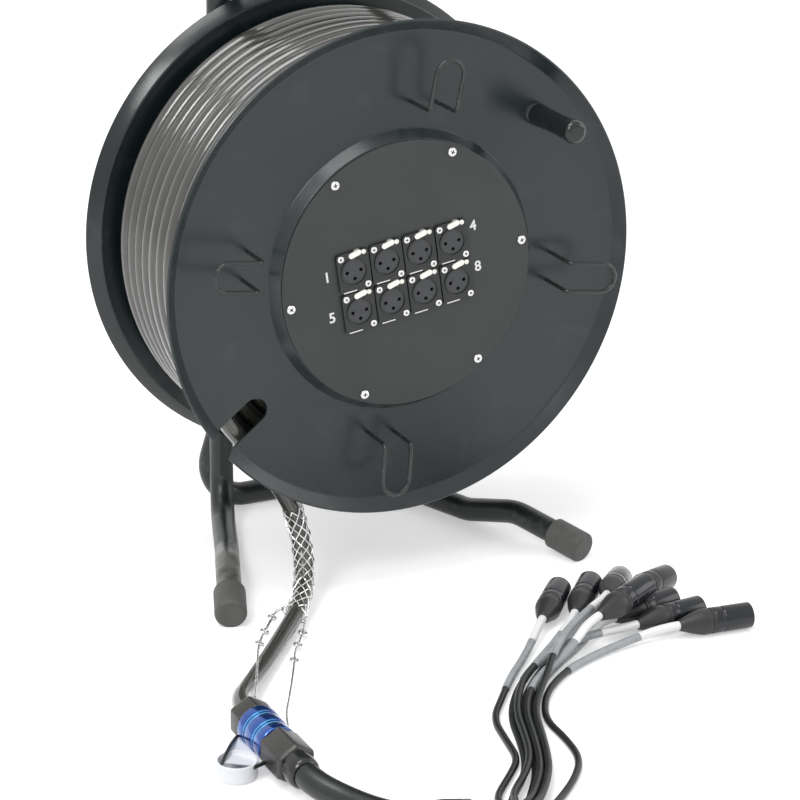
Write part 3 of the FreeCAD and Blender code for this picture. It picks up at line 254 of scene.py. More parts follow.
# %% The finishes of this object
SCUFF = (0.13, 0.13, 0.125)
# The left leg's pale patch near its foot: partly rubbed paint, partly a painted highlight.
LEG_SPOT = (-0.138, -0.068, 0.02)
LEG_RUB_AND_SHEEN = (0.2, 0.195, 0.18)
drum_paint = finish("drum_paint", (0.0155, 0.022, 0.0245), 0.26, patch=14, grain=420, relief=0.2,
    worn=SCUFF, worn_share=0.06)
# The rear flange's paint is a darker, glossier copy of the drum paint: painted shade for the flange
# that stands further back.
shaded_rear_paint = finish("shaded_rear_paint", (0.006, 0.0105, 0.012), 0.22, patch=14, grain=420, relief=0.15,
    worn=SCUFF, worn_share=0.06)
stand_paint = finish("stand_paint", (0.010, 0.014, 0.0145), 0.34, patch=22, grain=500, relief=0.1,
    worn=SCUFF, worn_share=0.25,
                     rubbed_and_sheen=(LEG_SPOT, 0.085, LEG_RUB_AND_SHEEN))
panel_paint = finish("panel_paint", (0.03, 0.034, 0.034), 0.48, patch=18, grain=1600, relief=0.3,
    haze=0.05)
jacket = finish("jacket", (0.042, 0.041, 0.037), 0.22, coat=1.0, spread=0.4, patch=60, grain=700,
    relief=0.2)
tail_jacket = finish("tail_jacket", (0.013, 0.0145, 0.0145), 0.36, patch=80, grain=1200, relief=0.2)
trunk_rubber = finish("trunk_rubber", (0.016, 0.018, 0.018), 0.3, patch=50, grain=800, relief=0.2)
bright_wire = finish("bright_wire", (0.78, 0.78, 0.77), 0.22, metallic=1, spread=0.15, patch=300,
    grain=1500, relief=0.1)
zinc = finish("zinc", (0.72, 0.72, 0.71), 0.28, metallic=1, spread=0.12, patch=120, grain=1500,
    relief=0.1)
latch_metal = finish("latch_metal", (0.84, 0.83, 0.78), 0.34, metallic=0.5, spread=0.06, patch=200,
    grain=2400, relief=0.1)
hook_wire = finish("hook_wire", (0.02, 0.022, 0.022), 0.15, patch=80, grain=900, relief=0.05,
    worn=SCUFF, worn_share=0.4)
socket_plastic = finish("socket_plastic", (0.010, 0.012, 0.012), 0.3, patch=120, grain=2400, relief=0.2)
insert_plastic = finish("insert_plastic", (0.042, 0.044, 0.047), 0.45, patch=160, grain=2000,
    relief=0.2)
painted_recess_shade = finish("painted_recess_shade", (0.006, 0.006, 0.006), 0.6, patch=200, grain=2400, relief=0.1)
crank_plastic = finish("crank_plastic", (0.011, 0.013, 0.013), 0.18, patch=60, grain=1200, relief=0.08)
foot_rubber = finish("foot_rubber", (0.085, 0.083, 0.08), 0.6, spread=0.35, patch=120, grain=1500,
    relief=0.5, worn=SCUFF)
collar_plastic = finish("collar_plastic", (0.03, 0.029, 0.027), 0.3, patch=120, grain=1600, relief=0.2,
    worn=SCUFF, worn_share=0.2)
boot_rubber = finish("boot_rubber", (0.016, 0.017, 0.017), 0.17, patch=90, grain=1000, relief=0.06)
blue_shell = finish("blue_shell", (0.010, 0.075, 0.36), 0.2, metallic=0.8, coat=1.0, spread=0.3,
    patch=70, grain=2400, relief=0.04)
blue_groove = finish("blue_groove", (0.12, 0.68, 1.0), 0.16, metallic=0.35, spread=0.1, patch=70,
    grain=2400, relief=0.04)
cap_plastic = finish("cap_plastic", (0.82, 0.83, 0.87), 0.36, spread=0.06, patch=70, grain=900,
    relief=0.08)
white_shrink = finish("white_shrink", (0.86, 0.87, 0.86), 0.38, spread=0.05, patch=90, grain=1400,
    relief=0.15)
grey_shrink = finish("grey_shrink", (0.33, 0.345, 0.36), 0.28, spread=0.3, patch=90, grain=1400,
    relief=0.2)
plug_rubber = finish("plug_rubber", (0.023, 0.0225, 0.023), 0.45, patch=110, grain=1700, relief=0.5)
plug_gloss = finish("plug_gloss", (0.008, 0.0095, 0.013), 0.16, patch=90, grain=1800, relief=0.06)
bush_plastic = finish("bush_plastic", (0.55, 0.53, 0.48), 0.5, patch=110, grain=1500, relief=0.2)
number_paint = finish("number_paint", (0.85, 0.85, 0.85), 0.5, spread=0.04, patch=300, grain=2000,
    relief=0.1)

CAD_FINISHES = {
    drum_paint: ["front_flange", "rear_flange", "barrel", "hub_tube", "hub_web"],
    stand_paint: ["frame_tube", "rear_brace", "hub_plate"],
    panel_paint: ["panel"],
    zinc: ["axle", "axle_collar", "axle_spacer", "crank_pin", "panel_screws", "socket_screws"],
    bush_plastic: ["hub_bushes"],
    hook_wire: ["hook_top", "hook_left", "hook_right", "hook_bottom"],
    socket_plastic: ["socket_shells"],
    insert_plastic: ["socket_inserts"],
    latch_metal: [f"latch_{index}" for index in range(1, 9)],
    crank_plastic: ["crank_grip"],
    foot_rubber: ["left_foot_cap", "right_foot_cap"],
    collar_plastic: ["connector_collar", "connector_body"],
    blue_shell: ["coupling_ring"],
    boot_rubber: ["connector_boot", "breakout"],
    cap_plastic: ["dust_cap"],
}
for made, names in CAD_FINISHES.items():
    for name in names:
        nodes[name].data.materials.clear()
        nodes[name].data.materials.append(made)
print("finishes:", len(bpy.data.materials))

# %% [markdown]
# ## Helpers for pieces
# A lathe piece starts as a circle that is extruded and scaled from ring to ring, as it is done by
# hand. It is made upright at the origin and then moved into place inside its mesh, so that its
# object stays at the origin like the CAD nodes. A tube is a curve with a round bevel.

# %% Pieces and where they go
def pick(*pieces):
    """Select these pieces only, the first one active."""
    bpy.ops.object.select_all(action="DESELECT")
    for piece in pieces:
        piece.select_set(True)
    bpy.context.view_layer.objects.active = pieces[0]


def pointing(origin, ahead):
    """A matrix that sends +Z along a direction, from a point."""
    turn = Vector(ahead).to_track_quat("Z", "Y")
    return Matrix.Translation(Vector(origin)) @ turn.to_matrix().to_4x4()


def smooth(piece, degrees=35):
    pick(piece)
    bpy.ops.object.shade_smooth_by_angle(angle=math.radians(degrees))


def settle(piece, made, body, replaced=(), degrees=35):
    """Give a finished piece its material and the body that it rides on."""
    piece.data.materials.clear()
    piece.data.materials.append(made)
    if piece.type == "MESH":
        smooth(piece, degrees)
    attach(piece, body)
    if replaced:
        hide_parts(*replaced)
    return piece


def turned(name, profile, sides=48, close=False, cap_start=False, cap_end=False):
    """A lathe piece about Z: a circle extruded and scaled through (radius, height) stations."""
    bpy.ops.object.select_all(action="DESELECT")
    radius, height = profile[0]
    bpy.ops.mesh.primitive_circle_add(vertices=sides, radius=radius, location=(0, 0, height))
    piece = bpy.context.object
    piece.name = name
    bpy.ops.object.transform_apply(location=True, rotation=False, scale=False)
    bpy.ops.object.mode_set(mode="EDIT")
    bpy.ops.mesh.select_all(action="SELECT")
    if cap_start:
        bpy.ops.mesh.edge_face_add()
        bpy.ops.mesh.select_all(action="SELECT")
    stations = list(profile[1:]) + ([profile[0]] if close else [])
    for new_radius, new_height in stations:
        bpy.ops.mesh.extrude_region_move(TRANSFORM_OT_translate={"value": (0, 0, new_height - height)})
        share = new_radius / radius
        bpy.ops.transform.resize(value=(share, share, 1), center_override=(0, 0, new_height))
        radius, height = new_radius, new_height
    if cap_end and not cap_start:
        bpy.ops.mesh.edge_face_add()
    bpy.ops.mesh.select_all(action="SELECT")
    bpy.ops.mesh.remove_doubles(threshold=1e-6)
    bpy.ops.mesh.normals_make_consistent(inside=False)
    bpy.ops.object.mode_set(mode="OBJECT")
    return piece


def bevelled(piece, width, segments=3, degrees=30):
    """Round the piece's sharp edges."""
    pick(piece)
    edge = piece.modifiers.new("edge", "BEVEL")
    edge.width = width
    edge.segments = segments
    edge.limit_method = "ANGLE"
    edge.angle_limit = math.radians(degrees)
    bpy.ops.object.modifier_apply(modifier=edge.name)
    return piece


def moved(piece, matrix):
    """Put a piece in place inside its mesh."""
    piece.data.transform(matrix)
    piece.data.update()
    return piece


def copied(piece, name, matrix):
    """The piece again with a mesh of its own, put somewhere else."""
    again = piece.copy()
    again.data = piece.data.copy()
    again.name = name
    bpy.context.collection.objects.link(again)
    return moved(again, matrix)


def joined(name, pieces):
    """Several meshes as one piece."""
    pick(*pieces)
    bpy.ops.object.join()
    whole = bpy.context.object
    whole.name = name
    return whole


# %% Curves and what follows them
def line(name, points, radius, sides=3, steps=10, cyclic=False, kind="NURBS"):
    """A curve through or near its control points, with a round section."""
    data = bpy.data.curves.new(name, "CURVE")
    data.dimensions = "3D"
    spline = data.splines.new(kind)
    spline.points.add(len(points) - 1)
    for spot, point in zip(spline.points, points):
        spot.co = (*point, 1)
    if kind == "NURBS":
        spline.order_u = 3
        spline.use_endpoint_u = not cyclic
        spline.use_cyclic_u = cyclic
    data.resolution_u = steps
    data.bevel_depth = radius
    data.bevel_resolution = sides
    data.use_fill_caps = True
    made = bpy.data.objects.new(name, data)
    bpy.context.collection.objects.link(made)
    return made


def meshed(piece):
    """A curve made a mesh."""
    pick(piece)
    bpy.ops.object.convert(target="MESH")
    return bpy.context.object


def traced(points, steps=10):
    """Points read from the smooth line of a route, about evenly spaced by its own steps."""
    guide = line("guide", points, 0, steps=steps)
    guide.data.bevel_depth = 0
    flat = bpy.data.meshes.new_from_object(guide.evaluated_get(bpy.context.evaluated_depsgraph_get()))
    spots = [vertex.co.copy() for vertex in flat.vertices]
    bpy.data.meshes.remove(flat)
    bpy.data.objects.remove(guide)
    return spots


def length_of(spots):
    return sum((there - here).length for here, there in zip(spots, spots[1:]))


def stretch(spots, start, end):
    """The part of a traced line between two lengths along it."""
    part = []
    done = 0
    for here, there in zip(spots, spots[1:]):
        step = (there - here).length
        for mark in (start, end):
            if done <= mark < done + step:
                part.append(here.lerp(there, (mark - done) / step))
        if start < done + step < end:
            part.append(there)
        done += step
    return part


def frames_along(spots):
    """For each point of a line: the point, two directions across it, and its length so far."""
    found = []
    side = Vector((0, 0, 1))
    done = 0
    for index, spot in enumerate(spots):
        ahead = (spots[min(index + 1, len(spots) - 1)] - spots[max(index - 1, 0)]).normalized()
        side = (side - ahead * side.dot(ahead)).normalized()
        if index:
            done += (spot - spots[index - 1]).length
        found.append((spot, side, ahead.cross(side), done))
    return found


def wrapped(name, spots, radius, wire, lay, start, sway=0.0, crossings=0, sides=1):
    """A thin wire that winds round a line; sway lifts it over and under the wires that it crosses."""
    points = []
    for spot, side, other, done in frames_along(spots):
        turn = start + 2 * math.pi * done / lay
        reach = radius + sway * math.sin(turn * crossings)
        points.append(spot + side * (reach * math.cos(turn)) + other * (reach * math.sin(turn)))
    return line(name, points, wire, sides=sides, kind="POLY")


# %% [markdown]
# ## Flanges
# Both flanges are pressed from sheet. The rim flares out at 45 degrees and the front flange has a
# raised boss for the panel, and pressed sheet has no sharp creases: each one is a small arc, and
# gloss paint shows it as a thin bright line. So the flanges are turned again with those arcs.

# %% Flange profiles
AXLE_HEIGHT = 0.251
DRUM_BACK = 0.00625
DISC_BACK = 0.072
DISC_FACE = 0.074
HUB_RADIUS = 0.018
BOSS_OPENING = 0.088
BOSS_BACK = 0.0811
BOSS_FACE = 0.0831
drum_place = Matrix.Translation((0, DRUM_BACK, AXLE_HEIGHT))
drum_frame = drum_place @ spun(math.radians(90), "X")
rear_frame = drum_place @ spun(math.radians(-90), "X")
ARC_STEPS = 4


def eased(corners):
    """A profile whose corners, given as (radius, height, arc), are rounded by their arcs."""
    points = []
    for index, (out, up, arc) in enumerate(corners):
        here = Vector((out, up))
        if not arc:
            points.append((out, up))
            continue
        before = (Vector(corners[index - 1][:2]) - here).normalized()
        after = (Vector(corners[(index + 1) % len(corners)][:2]) - here).normalized()
        half = before.angle(after) / 2
        middle = here + (before + after).normalized() * (arc / math.sin(half))
        start = here + before * (arc / math.tan(half)) - middle
        end = here + after * (arc / math.tan(half)) - middle
        for step in range(ARC_STEPS + 1):
            spoke = start.lerp(end, step / ARC_STEPS).normalized() * arc
            points.append(tuple(middle + spoke))
    return points


RIM = [
    (0.18106, DISC_BACK, 0.003), (0.19, 0.08094, 0.0006),
    (0.18859, 0.08235, 0.0006), (0.18024, DISC_FACE, 0.0025),
]
FLANGE_SIDES = 180
rear_profile = [(HUB_RADIUS, DISC_BACK, 0)] + RIM + [(HUB_RADIUS, DISC_FACE, 0)]
rear = turned("rear_plate", eased(rear_profile), sides=FLANGE_SIDES, close=True)
settle(moved(rear, rear_frame), shaded_rear_paint, "drum", ["rear_flange"])
boss_inside = [
    (BOSS_OPENING, BOSS_BACK, 0), (0.10092, BOSS_BACK, 0.0005), (0.10692, DISC_BACK, 0.0005),
]
boss_outside = [
    (0.108, DISC_FACE, 0.0016), (0.102, BOSS_FACE, 0.0012), (BOSS_OPENING, BOSS_FACE, 0),
]
front_profile = eased(boss_inside + RIM + boss_outside)
front = turned("front_plate", front_profile, sides=FLANGE_SIDES, close=True)

# %% Cable slot
SLOT_TURN = math.radians(-141.5)
SLOT_HALF = 0.00975
SLOT_INNER = 0.15075
SLOT_OUTER = 0.21
SLOT_HEIGHT = 0.078
SLOT_DEPTH = 0.03
slot_turn = spun(SLOT_TURN, "Z")


def cut_from(piece, cutter):
    """Cut one shape out of a piece and throw the cutter away."""
    pick(piece)
    cut = piece.modifiers.new("cut", "BOOLEAN")
    cut.operation = "DIFFERENCE"
    cut.object = cutter
    bpy.ops.object.modifier_apply(modifier=cut.name)
    bpy.data.objects.remove(cutter)


bpy.ops.object.select_all(action="DESELECT")
bpy.ops.mesh.primitive_cylinder_add(vertices=48, radius=SLOT_HALF, depth=SLOT_DEPTH)
end_place = slot_turn @ Matrix.Translation((SLOT_INNER, 0, SLOT_HEIGHT))
slot_end = moved(bpy.context.object, end_place)
bpy.ops.object.select_all(action="DESELECT")
bpy.ops.mesh.primitive_cube_add(size=1)
run_place = slot_turn @ Matrix.Translation(((SLOT_INNER + SLOT_OUTER) / 2, 0, SLOT_HEIGHT))
run_size = Matrix.Diagonal((SLOT_OUTER - SLOT_INNER, 2 * SLOT_HALF, SLOT_DEPTH, 1))
slot_run = moved(bpy.context.object, run_place @ run_size)
cut_from(front, slot_end)
cut_from(front, slot_run)
settle(moved(front, drum_frame), drum_paint, "drum", ["front_flange"])

# %% [markdown]
# ## Cable on the drum
# The photograph shows the outer layer's turns side by side, and deeper layers through the slot in
# the front flange. Each layer is one helix, because stacked rings would show no slope. A quadratic
# NURBS line lies inside its control points, so they stand a little further out than the cable.

# %% Layers of the winding
CABLE = 0.0135
LAY_RADIUS = 0.1652
LAY_PITCH = 0.01407
LAY_START = -0.0647
LAY_ANGLE = math.radians(254)
LAY_TURNS = 8
WINDING_HALF = 0.0717
TURN_POINTS = 24


def on_drum(radius, angle, out):
    """A point from its radius, its angle and its place along the axle, which points to the front."""
    return Vector((radius * math.cos(angle), DRUM_BACK - out, AXLE_HEIGHT + radius * math.sin(angle)))


def outside(radius):
    """The radius of the control points whose quadratic line runs at this radius."""
    return radius / math.cos(math.pi / TURN_POINTS)


def helix(radius, angle, start, pitch, turns):
    count = round(TURN_POINTS * turns)
    step = 2 * math.pi / TURN_POINTS
    return [on_drum(outside(radius), angle + step * i,
        start + pitch * i / TURN_POINTS) for i in range(count + 1)]


outer = line("winding_turns", helix(LAY_RADIUS, LAY_ANGLE, LAY_START, LAY_PITCH, LAY_TURNS), CABLE / 2,
    sides=4, steps=5)
outer = settle(meshed(outer), jacket, "drum", ["winding_outer"])

LAYERS_UNDER = 4
LAYER_RISE = 0.0131
layers = []
for deep in range(1, LAYERS_UNDER + 1):
    side = 1 if deep % 2 else -1
    reach = WINDING_HALF - CABLE / 2
    turns = 9.7
    radius = LAY_RADIUS - LAYER_RISE * deep
    points = helix(radius, LAY_ANGLE + deep, -side * reach, side * 2 * reach / turns, turns)
    layers.append(meshed(line(f"layer_{deep}", points, CABLE / 2, sides=2, steps=2)))
settle(joined("winding_layers", layers), jacket, "drum", ["winding_core"])

# %% [markdown]
# ## Free cable
# The last turn leaves the pack of turns, sags off at the lower left and comes down behind the front
# flange to the floor. It belongs to the stand, so that the drum can turn inside it. It is one cord,
# from the drum to its multipin connector, and the route is the one of the CAD model.

# %% Last turn and lead
RING_RADIUS = 0.1655
RING_PLANE = 0.062
RING_START = math.radians(-103)
RING_SAGS = math.radians(125)
RING_END = math.radians(215)
RING_SAG = 0.0045
CONNECTOR_X = -0.208
CONNECTOR_Y = -0.256
CONNECTOR_Z = 0.0156
CABLE_ENTRY = 0.012
LEAD_ROUTE = [
    (-0.119, -0.05575, 0.125), (-0.099, -0.056, 0.098), (-0.083, -0.0565, 0.072),
    (-0.0775, -0.059, 0.05),
    (-0.078, -0.0675, 0.032), (-0.084, -0.082, 0.019), (-0.094, -0.098, 0.012),
    (-0.109, -0.117, 0.0084),
    (-0.127, -0.138, 0.007), (-0.15, -0.166, 0.0069), (-0.172, -0.193, 0.008), (-0.19, -0.216, 0.0115),
    (-0.202, -0.232, 0.0145),
]


def last_turn():
    """Control points of the last turn: a circle, and then a slightly wider one that sags."""
    points = []
    count = round((RING_END - RING_START) / (2 * math.pi) * TURN_POINTS)
    for index in range(count + 1):
        angle = RING_START + (RING_END - RING_START) * index / count
        if angle <= RING_SAGS:
            points.append(on_drum(outside(RING_RADIUS), angle, RING_PLANE))
        else:
            dropped = on_drum(outside(RING_RADIUS) + RING_SAG, angle, RING_PLANE)
            points.append(dropped - Vector((math.cos(RING_SAGS), 0, math.sin(RING_SAGS))) * RING_SAG)
    return points


lead_points = last_turn() + [Vector(point) for point in LEAD_ROUTE]
lead_points += [Vector((CONNECTOR_X, CONNECTOR_Y + 0.002, CONNECTOR_Z)),
    Vector((CONNECTOR_X, CONNECTOR_Y - CABLE_ENTRY, CONNECTOR_Z))]
lead = settle(line("multicore_lead", lead_points, CABLE / 2, sides=5, steps=8), jacket,
    "stand",
              ["last_turn", "lead_cable"])
lead_line = traced(lead_points)
print("lead:", round(length_of(lead_line), 3), "m")

# %% [markdown]
# ## Pulling grip
# A tube of thin steel wires, braided in diamonds, grips the cable and takes the pull. Below it the
# wires gather on each side into small ferrules, from which a twisted wire goes to the connector.
# The braid is two sets of helices that wind the opposite ways and sway over and under each other.

# %% Braid
GRIP_TOP = Vector((-0.083, -0.0565, 0.070))
GRIP_FOOT = Vector((-0.106, -0.113, 0.009))
BRAID_WIRES = 7
BRAID_LAY = 0.072
BRAID_WIRE = 0.00052
BRAID_SWAY = 0.00035


def nearest(spots, place):
    return min(range(len(spots)), key=lambda index: (spots[index] - place).length)


grip_line = lead_line[nearest(lead_line, GRIP_TOP):nearest(lead_line, GRIP_FOOT) + 1]
GRIP_STEP = 0.0012
grip_length = length_of(grip_line)
fine = []
for index in range(int(grip_length / GRIP_STEP)):
    fine += stretch(grip_line, index * GRIP_STEP, index * GRIP_STEP)[:1]
wires = []
for way in (1, -1):
    for wire in range(BRAID_WIRES):
        start = 2 * math.pi * wire / BRAID_WIRES
        radius = CABLE / 2 + BRAID_WIRE + BRAID_SWAY
        name = f"braid_{wire}_{way}"
        wires.append(
            meshed(wrapped(name, fine, radius, BRAID_WIRE, way * BRAID_LAY, start, way * BRAID_SWAY,
            BRAID_WIRES)))
braid = settle(joined("grip_braid", wires), bright_wire, "stand", ["pulling_grip"])

# %% Pull wires and ferrules
STRANDS = {
    "left": [
        (-0.1115, -0.1045, 0.012), (-0.119, -0.108, 0.014), (-0.1348, -0.1297, 0.0135),
        (-0.1488, -0.1481, 0.014), (-0.1607, -0.1699, 0.017), (-0.1825, -0.2176, 0.0225),
        (-0.2035, -0.262, 0.0298),
    ],
    "right": [
        (-0.1, -0.1195, 0.007), (-0.104, -0.126, 0.005), (-0.1145, -0.143, 0.004),
        (-0.1273, -0.1604, 0.005),
        (-0.1438, -0.1948, 0.008), (-0.1636, -0.2317, 0.009), (-0.1846, -0.269, 0.009),
        (-0.1935, -0.3108, 0.008),
    ],
}
STRAND_WIRE = 0.00052
STRAND_LAY = 0.009
FERRULES_AFTER = (1, 2, 3)
GATHERED = 4
EYE_RADIUS = 0.0026
EYE_WIRE = 0.001
EYE_FACES = Vector((0, -0.5, 0.87))
CRIMP = [(0.0011, -0.0034), (0.0015, -0.0034), (0.0017, -0.0030), (0.0017, -0.0016), (0.0015, -0.0012),
    (0.0011, -0.0012)]


def eye_place(middle, way):
    """A place along a strand that turns the open side of the eye up and to the front."""
    along = way.normalized()
    face = (EYE_FACES - along * EYE_FACES.dot(along)).normalized()
    turn = Matrix((face.cross(along), face, along)).transposed().to_4x4()
    return Matrix.Translation(middle) @ turn


def ferrule_master():
    """A small wire eye, seen from its open side, with a crimp where the strands go in."""
    bpy.ops.object.select_all(action="DESELECT")
    bpy.ops.mesh.primitive_torus_add(major_radius=EYE_RADIUS, minor_radius=EYE_WIRE, major_segments=24,
        minor_segments=10)
    eye = moved(bpy.context.object, spun(math.radians(90), "X"))
    return joined("ferrule", [eye, turned("crimp", CRIMP, sides=18, close=True)])


wires = []
ferrules = []
ferrule = ferrule_master()
for side, points in STRANDS.items():
    route = [Vector(point) for point in points]
    spots = traced(route, steps=14)
    for part in range(3):
        name = f"strand_{side}_{part}"
        wires.append(
            meshed(wrapped(name, spots, STRAND_WIRE, STRAND_WIRE, STRAND_LAY, 2 * math.pi * part / 3)))
    ends = frames_along(fine)[-1]
    lean = route[0] - ends[0]
    for part in range(GATHERED):
        around = math.atan2(lean.dot(ends[2]), lean.dot(ends[1])) + (part - 1.5) * 0.75
        start = ends[0] + (ends[1] * math.cos(around) + ends[2] * math.sin(around)) * (
            CABLE / 2 + 2 * BRAID_WIRE)
        half = start.lerp(route[0], 0.55) + lean.normalized() * 0.003
        wires.append(
            meshed(line(f"gather_{side}_{part}", [start, half, route[0], route[1]], BRAID_WIRE,
            sides=1)))
    for after in FERRULES_AFTER:
        middle = (route[after] + route[after + 1]) / 2
        ferrules.append(
            copied(ferrule, f"ferrule_{side}_{after}",
            eye_place(middle, route[after + 1] - route[after])))
bpy.data.objects.remove(ferrule)
pull_wires = settle(joined("pull_wires", wires), bright_wire, "stand", ["grip_wires"])
grip_ferrules = settle(joined("grip_ferrules", ferrules), zinc, "stand", ["grip_rings"])

# %% [markdown]
# ## Multipin connector
# Two black six-sided shells, a blue coupling ring with bright double grooves between them, and a
# domed rubber boot. The shells start as six-sided cylinders whose ends are inset and whose edges are
# bevelled; the ring and the boot are lathe pieces.

# %% Shells, coupling ring and boot
HEX_RADIUS = 0.0155
COLLAR_LENGTH = 0.020
COLLAR_BEVEL = 0.005
RING_LENGTH = 0.0348
BODY_LENGTH = 0.0307
BOOT_LENGTH = 0.014
along_connector = pointing((CONNECTOR_X, CONNECTOR_Y, CONNECTOR_Z), (0, -1, 0))


def six_sided(name, stations, cap_end=True, turn=0.0):
    """A lathe piece with six sides and a corner on top, its edges rounded."""
    piece = turned(name, stations, sides=6, close=not cap_end, cap_end=cap_end)
    moved(piece, spun(turn, "Z"))
    return bevelled(piece, 0.0011, 4, degrees=20)


collar = six_sided("collar", [
    (CABLE / 2 + 0.0004, COLLAR_BEVEL), (CABLE / 2 + 0.0018, 0.0), (0.0114, 0.0),
    (0.0146, COLLAR_BEVEL * 0.8),
    (HEX_RADIUS, COLLAR_BEVEL), (HEX_RADIUS, COLLAR_LENGTH), (0.0125, COLLAR_LENGTH),
], cap_end=False)
nut = six_sided("nut", [
    (0.0125, 0.0), (HEX_RADIUS, 0.0), (HEX_RADIUS, BODY_LENGTH - 0.003), (0.0139, BODY_LENGTH),
    (0.0098, BODY_LENGTH),
], cap_end=False)
moved(collar, along_connector)
settle(collar, collar_plastic, "stand", ["connector_collar"])
body_start = COLLAR_LENGTH + RING_LENGTH
moved(nut, along_connector @ Matrix.Translation((0, 0, body_start)))
settle(nut, collar_plastic, "stand", ["connector_body"])

RING_FRONT = 0.0152
RING_BACK = 0.0142
RING_GAP = 0.0003
GROOVES = (0.22, 0.31, 0.62, 0.71)
GROOVE_WIDTH = 0.0016
GROOVE_DEPTH = 0.0007
ring_start = COLLAR_LENGTH + RING_GAP
ring_span = RING_LENGTH - 2 * RING_GAP
stations = [(0.0118, ring_start), (RING_FRONT - 0.0006, ring_start), (RING_FRONT, ring_start + 0.0008)]
for share in GROOVES:
    near = ring_start + ring_span * share
    rim = RING_FRONT + (RING_BACK - RING_FRONT) * share
    stations += [(rim, near), (rim - GROOVE_DEPTH, near + 0.0002),
        (rim - GROOVE_DEPTH, near + GROOVE_WIDTH - 0.0002), (rim, near + GROOVE_WIDTH)]
stations += [(RING_BACK, ring_start + ring_span - 0.0008), (RING_BACK - 0.0006, ring_start + ring_span),
    (0.0118, ring_start + ring_span)]
coupling = bevelled(turned("coupling", stations, sides=64, close=True), 0.00015, 2)
moved(coupling, along_connector)
settle(coupling, blue_shell, "coupling", ["coupling_ring"], degrees=25)
coupling.data.materials.append(blue_groove)
for face in coupling.data.polygons:
    out = math.hypot(face.center.x - CONNECTOR_X, face.center.z - CONNECTOR_Z)
    along = CONNECTOR_Y - face.center.y - ring_start
    rim = RING_FRONT + (RING_BACK - RING_FRONT) * along / ring_span
    if out < rim - GROOVE_DEPTH * 0.7 and out > 0.0125 and 0.002 < along < ring_span - 0.002:
        face.material_index = 1

TRUNK = 0.0185
BOOT_RADIUS = 0.0117
boot_start = body_start + BODY_LENGTH
stations = [(TRUNK / 2 - 0.0004, -0.001), (BOOT_RADIUS, -0.001), (BOOT_RADIUS, BOOT_LENGTH * 0.45)]
for step in range(1, 7):
    share = step / 6
    dome = math.sqrt(1 - share ** 2)
    stations.append((TRUNK / 2 + (BOOT_RADIUS - TRUNK / 2) * dome, BOOT_LENGTH * (0.45 + 0.55 * share)))
boot = turned("boot", stations, sides=48, close=True)
moved(boot, along_connector @ Matrix.Translation((0, 0, boot_start)))
settle(boot, boot_rubber, "stand", ["connector_boot"], degrees=60)

# %% Dust cap, its strap and its web
CAP_PLACE = Vector((-0.2379, -0.3104, 0))
CAP_RADIUS = 0.014
CAP_HEIGHT = 0.0125
CAP_WALL = 0.0016
STRAP_ROUTE = [
    (-0.2214, -0.2725, 0.008), (-0.229, -0.284, 0.012), (-0.238, -0.298, 0.0155),
    (-0.246, -0.309, 0.0155),
    (-0.2502, -0.314, 0.0138),
]
LINK_ROUTE = [(-0.231, -0.3225, 0.0105), (-0.2214, -0.319, 0.0105)]
STRAP = 0.0013

cap = turned("dust_cup", [
    (0.0004, 0.0), (CAP_RADIUS - 0.0008, 0.0), (CAP_RADIUS, 0.0010), (CAP_RADIUS, 0.0040),
    (CAP_RADIUS - 0.0003, 0.0048),
    (CAP_RADIUS - 0.0003, CAP_HEIGHT - 0.0030), (CAP_RADIUS, CAP_HEIGHT - 0.0022),
    (CAP_RADIUS, CAP_HEIGHT),
    (CAP_RADIUS - CAP_WALL, CAP_HEIGHT), (CAP_RADIUS - CAP_WALL, CAP_WALL + 0.001),
    (CAP_RADIUS - 2 * CAP_WALL, CAP_WALL), (0.0004, CAP_WALL),
], sides=64, close=True)
bevelled(cap, 0.0003, 2)
moved(cap, Matrix.Translation(CAP_PLACE))
settle(cap, cap_plastic, "stand", ["dust_cap"])

strap = meshed(line("strap", [Vector(point) for point in STRAP_ROUTE], STRAP, sides=4))
link = meshed(line("link", [Vector(point) for point in LINK_ROUTE], STRAP, sides=4))
settle(joined("cap_tether", [strap, link]), tail_jacket, "stand", ["cap_strap"])

# %% Pale web between the strap and the connector
WEB_WALL = 0.0006
WEB_CORNERS = [(-0.2217, -0.2745, 0.0085), (-0.2500, -0.3120, 0.0135), (-0.2330, -0.3210, 0.0118),
    (-0.2224, -0.3170, 0.0105)]
WEB_CUTS = 8
WEB_SAG = 0.0012

bpy.ops.object.select_all(action="DESELECT")
bpy.ops.mesh.primitive_grid_add(x_subdivisions=WEB_CUTS, y_subdivisions=WEB_CUTS, size=1)
web = bpy.context.object
web.name = "cap_web"
corners = [Vector(corner) for corner in WEB_CORNERS]
for vertex in web.data.vertices:
    across, down = vertex.co.x + 0.5, vertex.co.y + 0.5
    top = corners[0].lerp(corners[3], across)
    low = corners[1].lerp(corners[2], across)
    sag = WEB_SAG * math.sin(math.pi * across) * math.sin(math.pi * down)
    vertex.co = top.lerp(low, down) - Vector((0, 0, sag))
pick(web)
sheet = web.modifiers.new("wall", "SOLIDIFY")
sheet.thickness = WEB_WALL
bpy.ops.object.modifier_apply(modifier=sheet.name)
bpy.ops.object.mode_set(mode="EDIT")
bpy.ops.mesh.select_all(action="SELECT")
bpy.ops.mesh.normals_make_consistent(inside=False)
bpy.ops.object.mode_set(mode="OBJECT")
settle(web, cap_plastic, "stand")

# %% [markdown]
# ## Trunk and breakout
# A thick rubber trunk leaves the connector along the floor, and a moulded breakout splits it into
# eight tails. The trunk is a cord of its own, and the breakout is the piece at its far end.

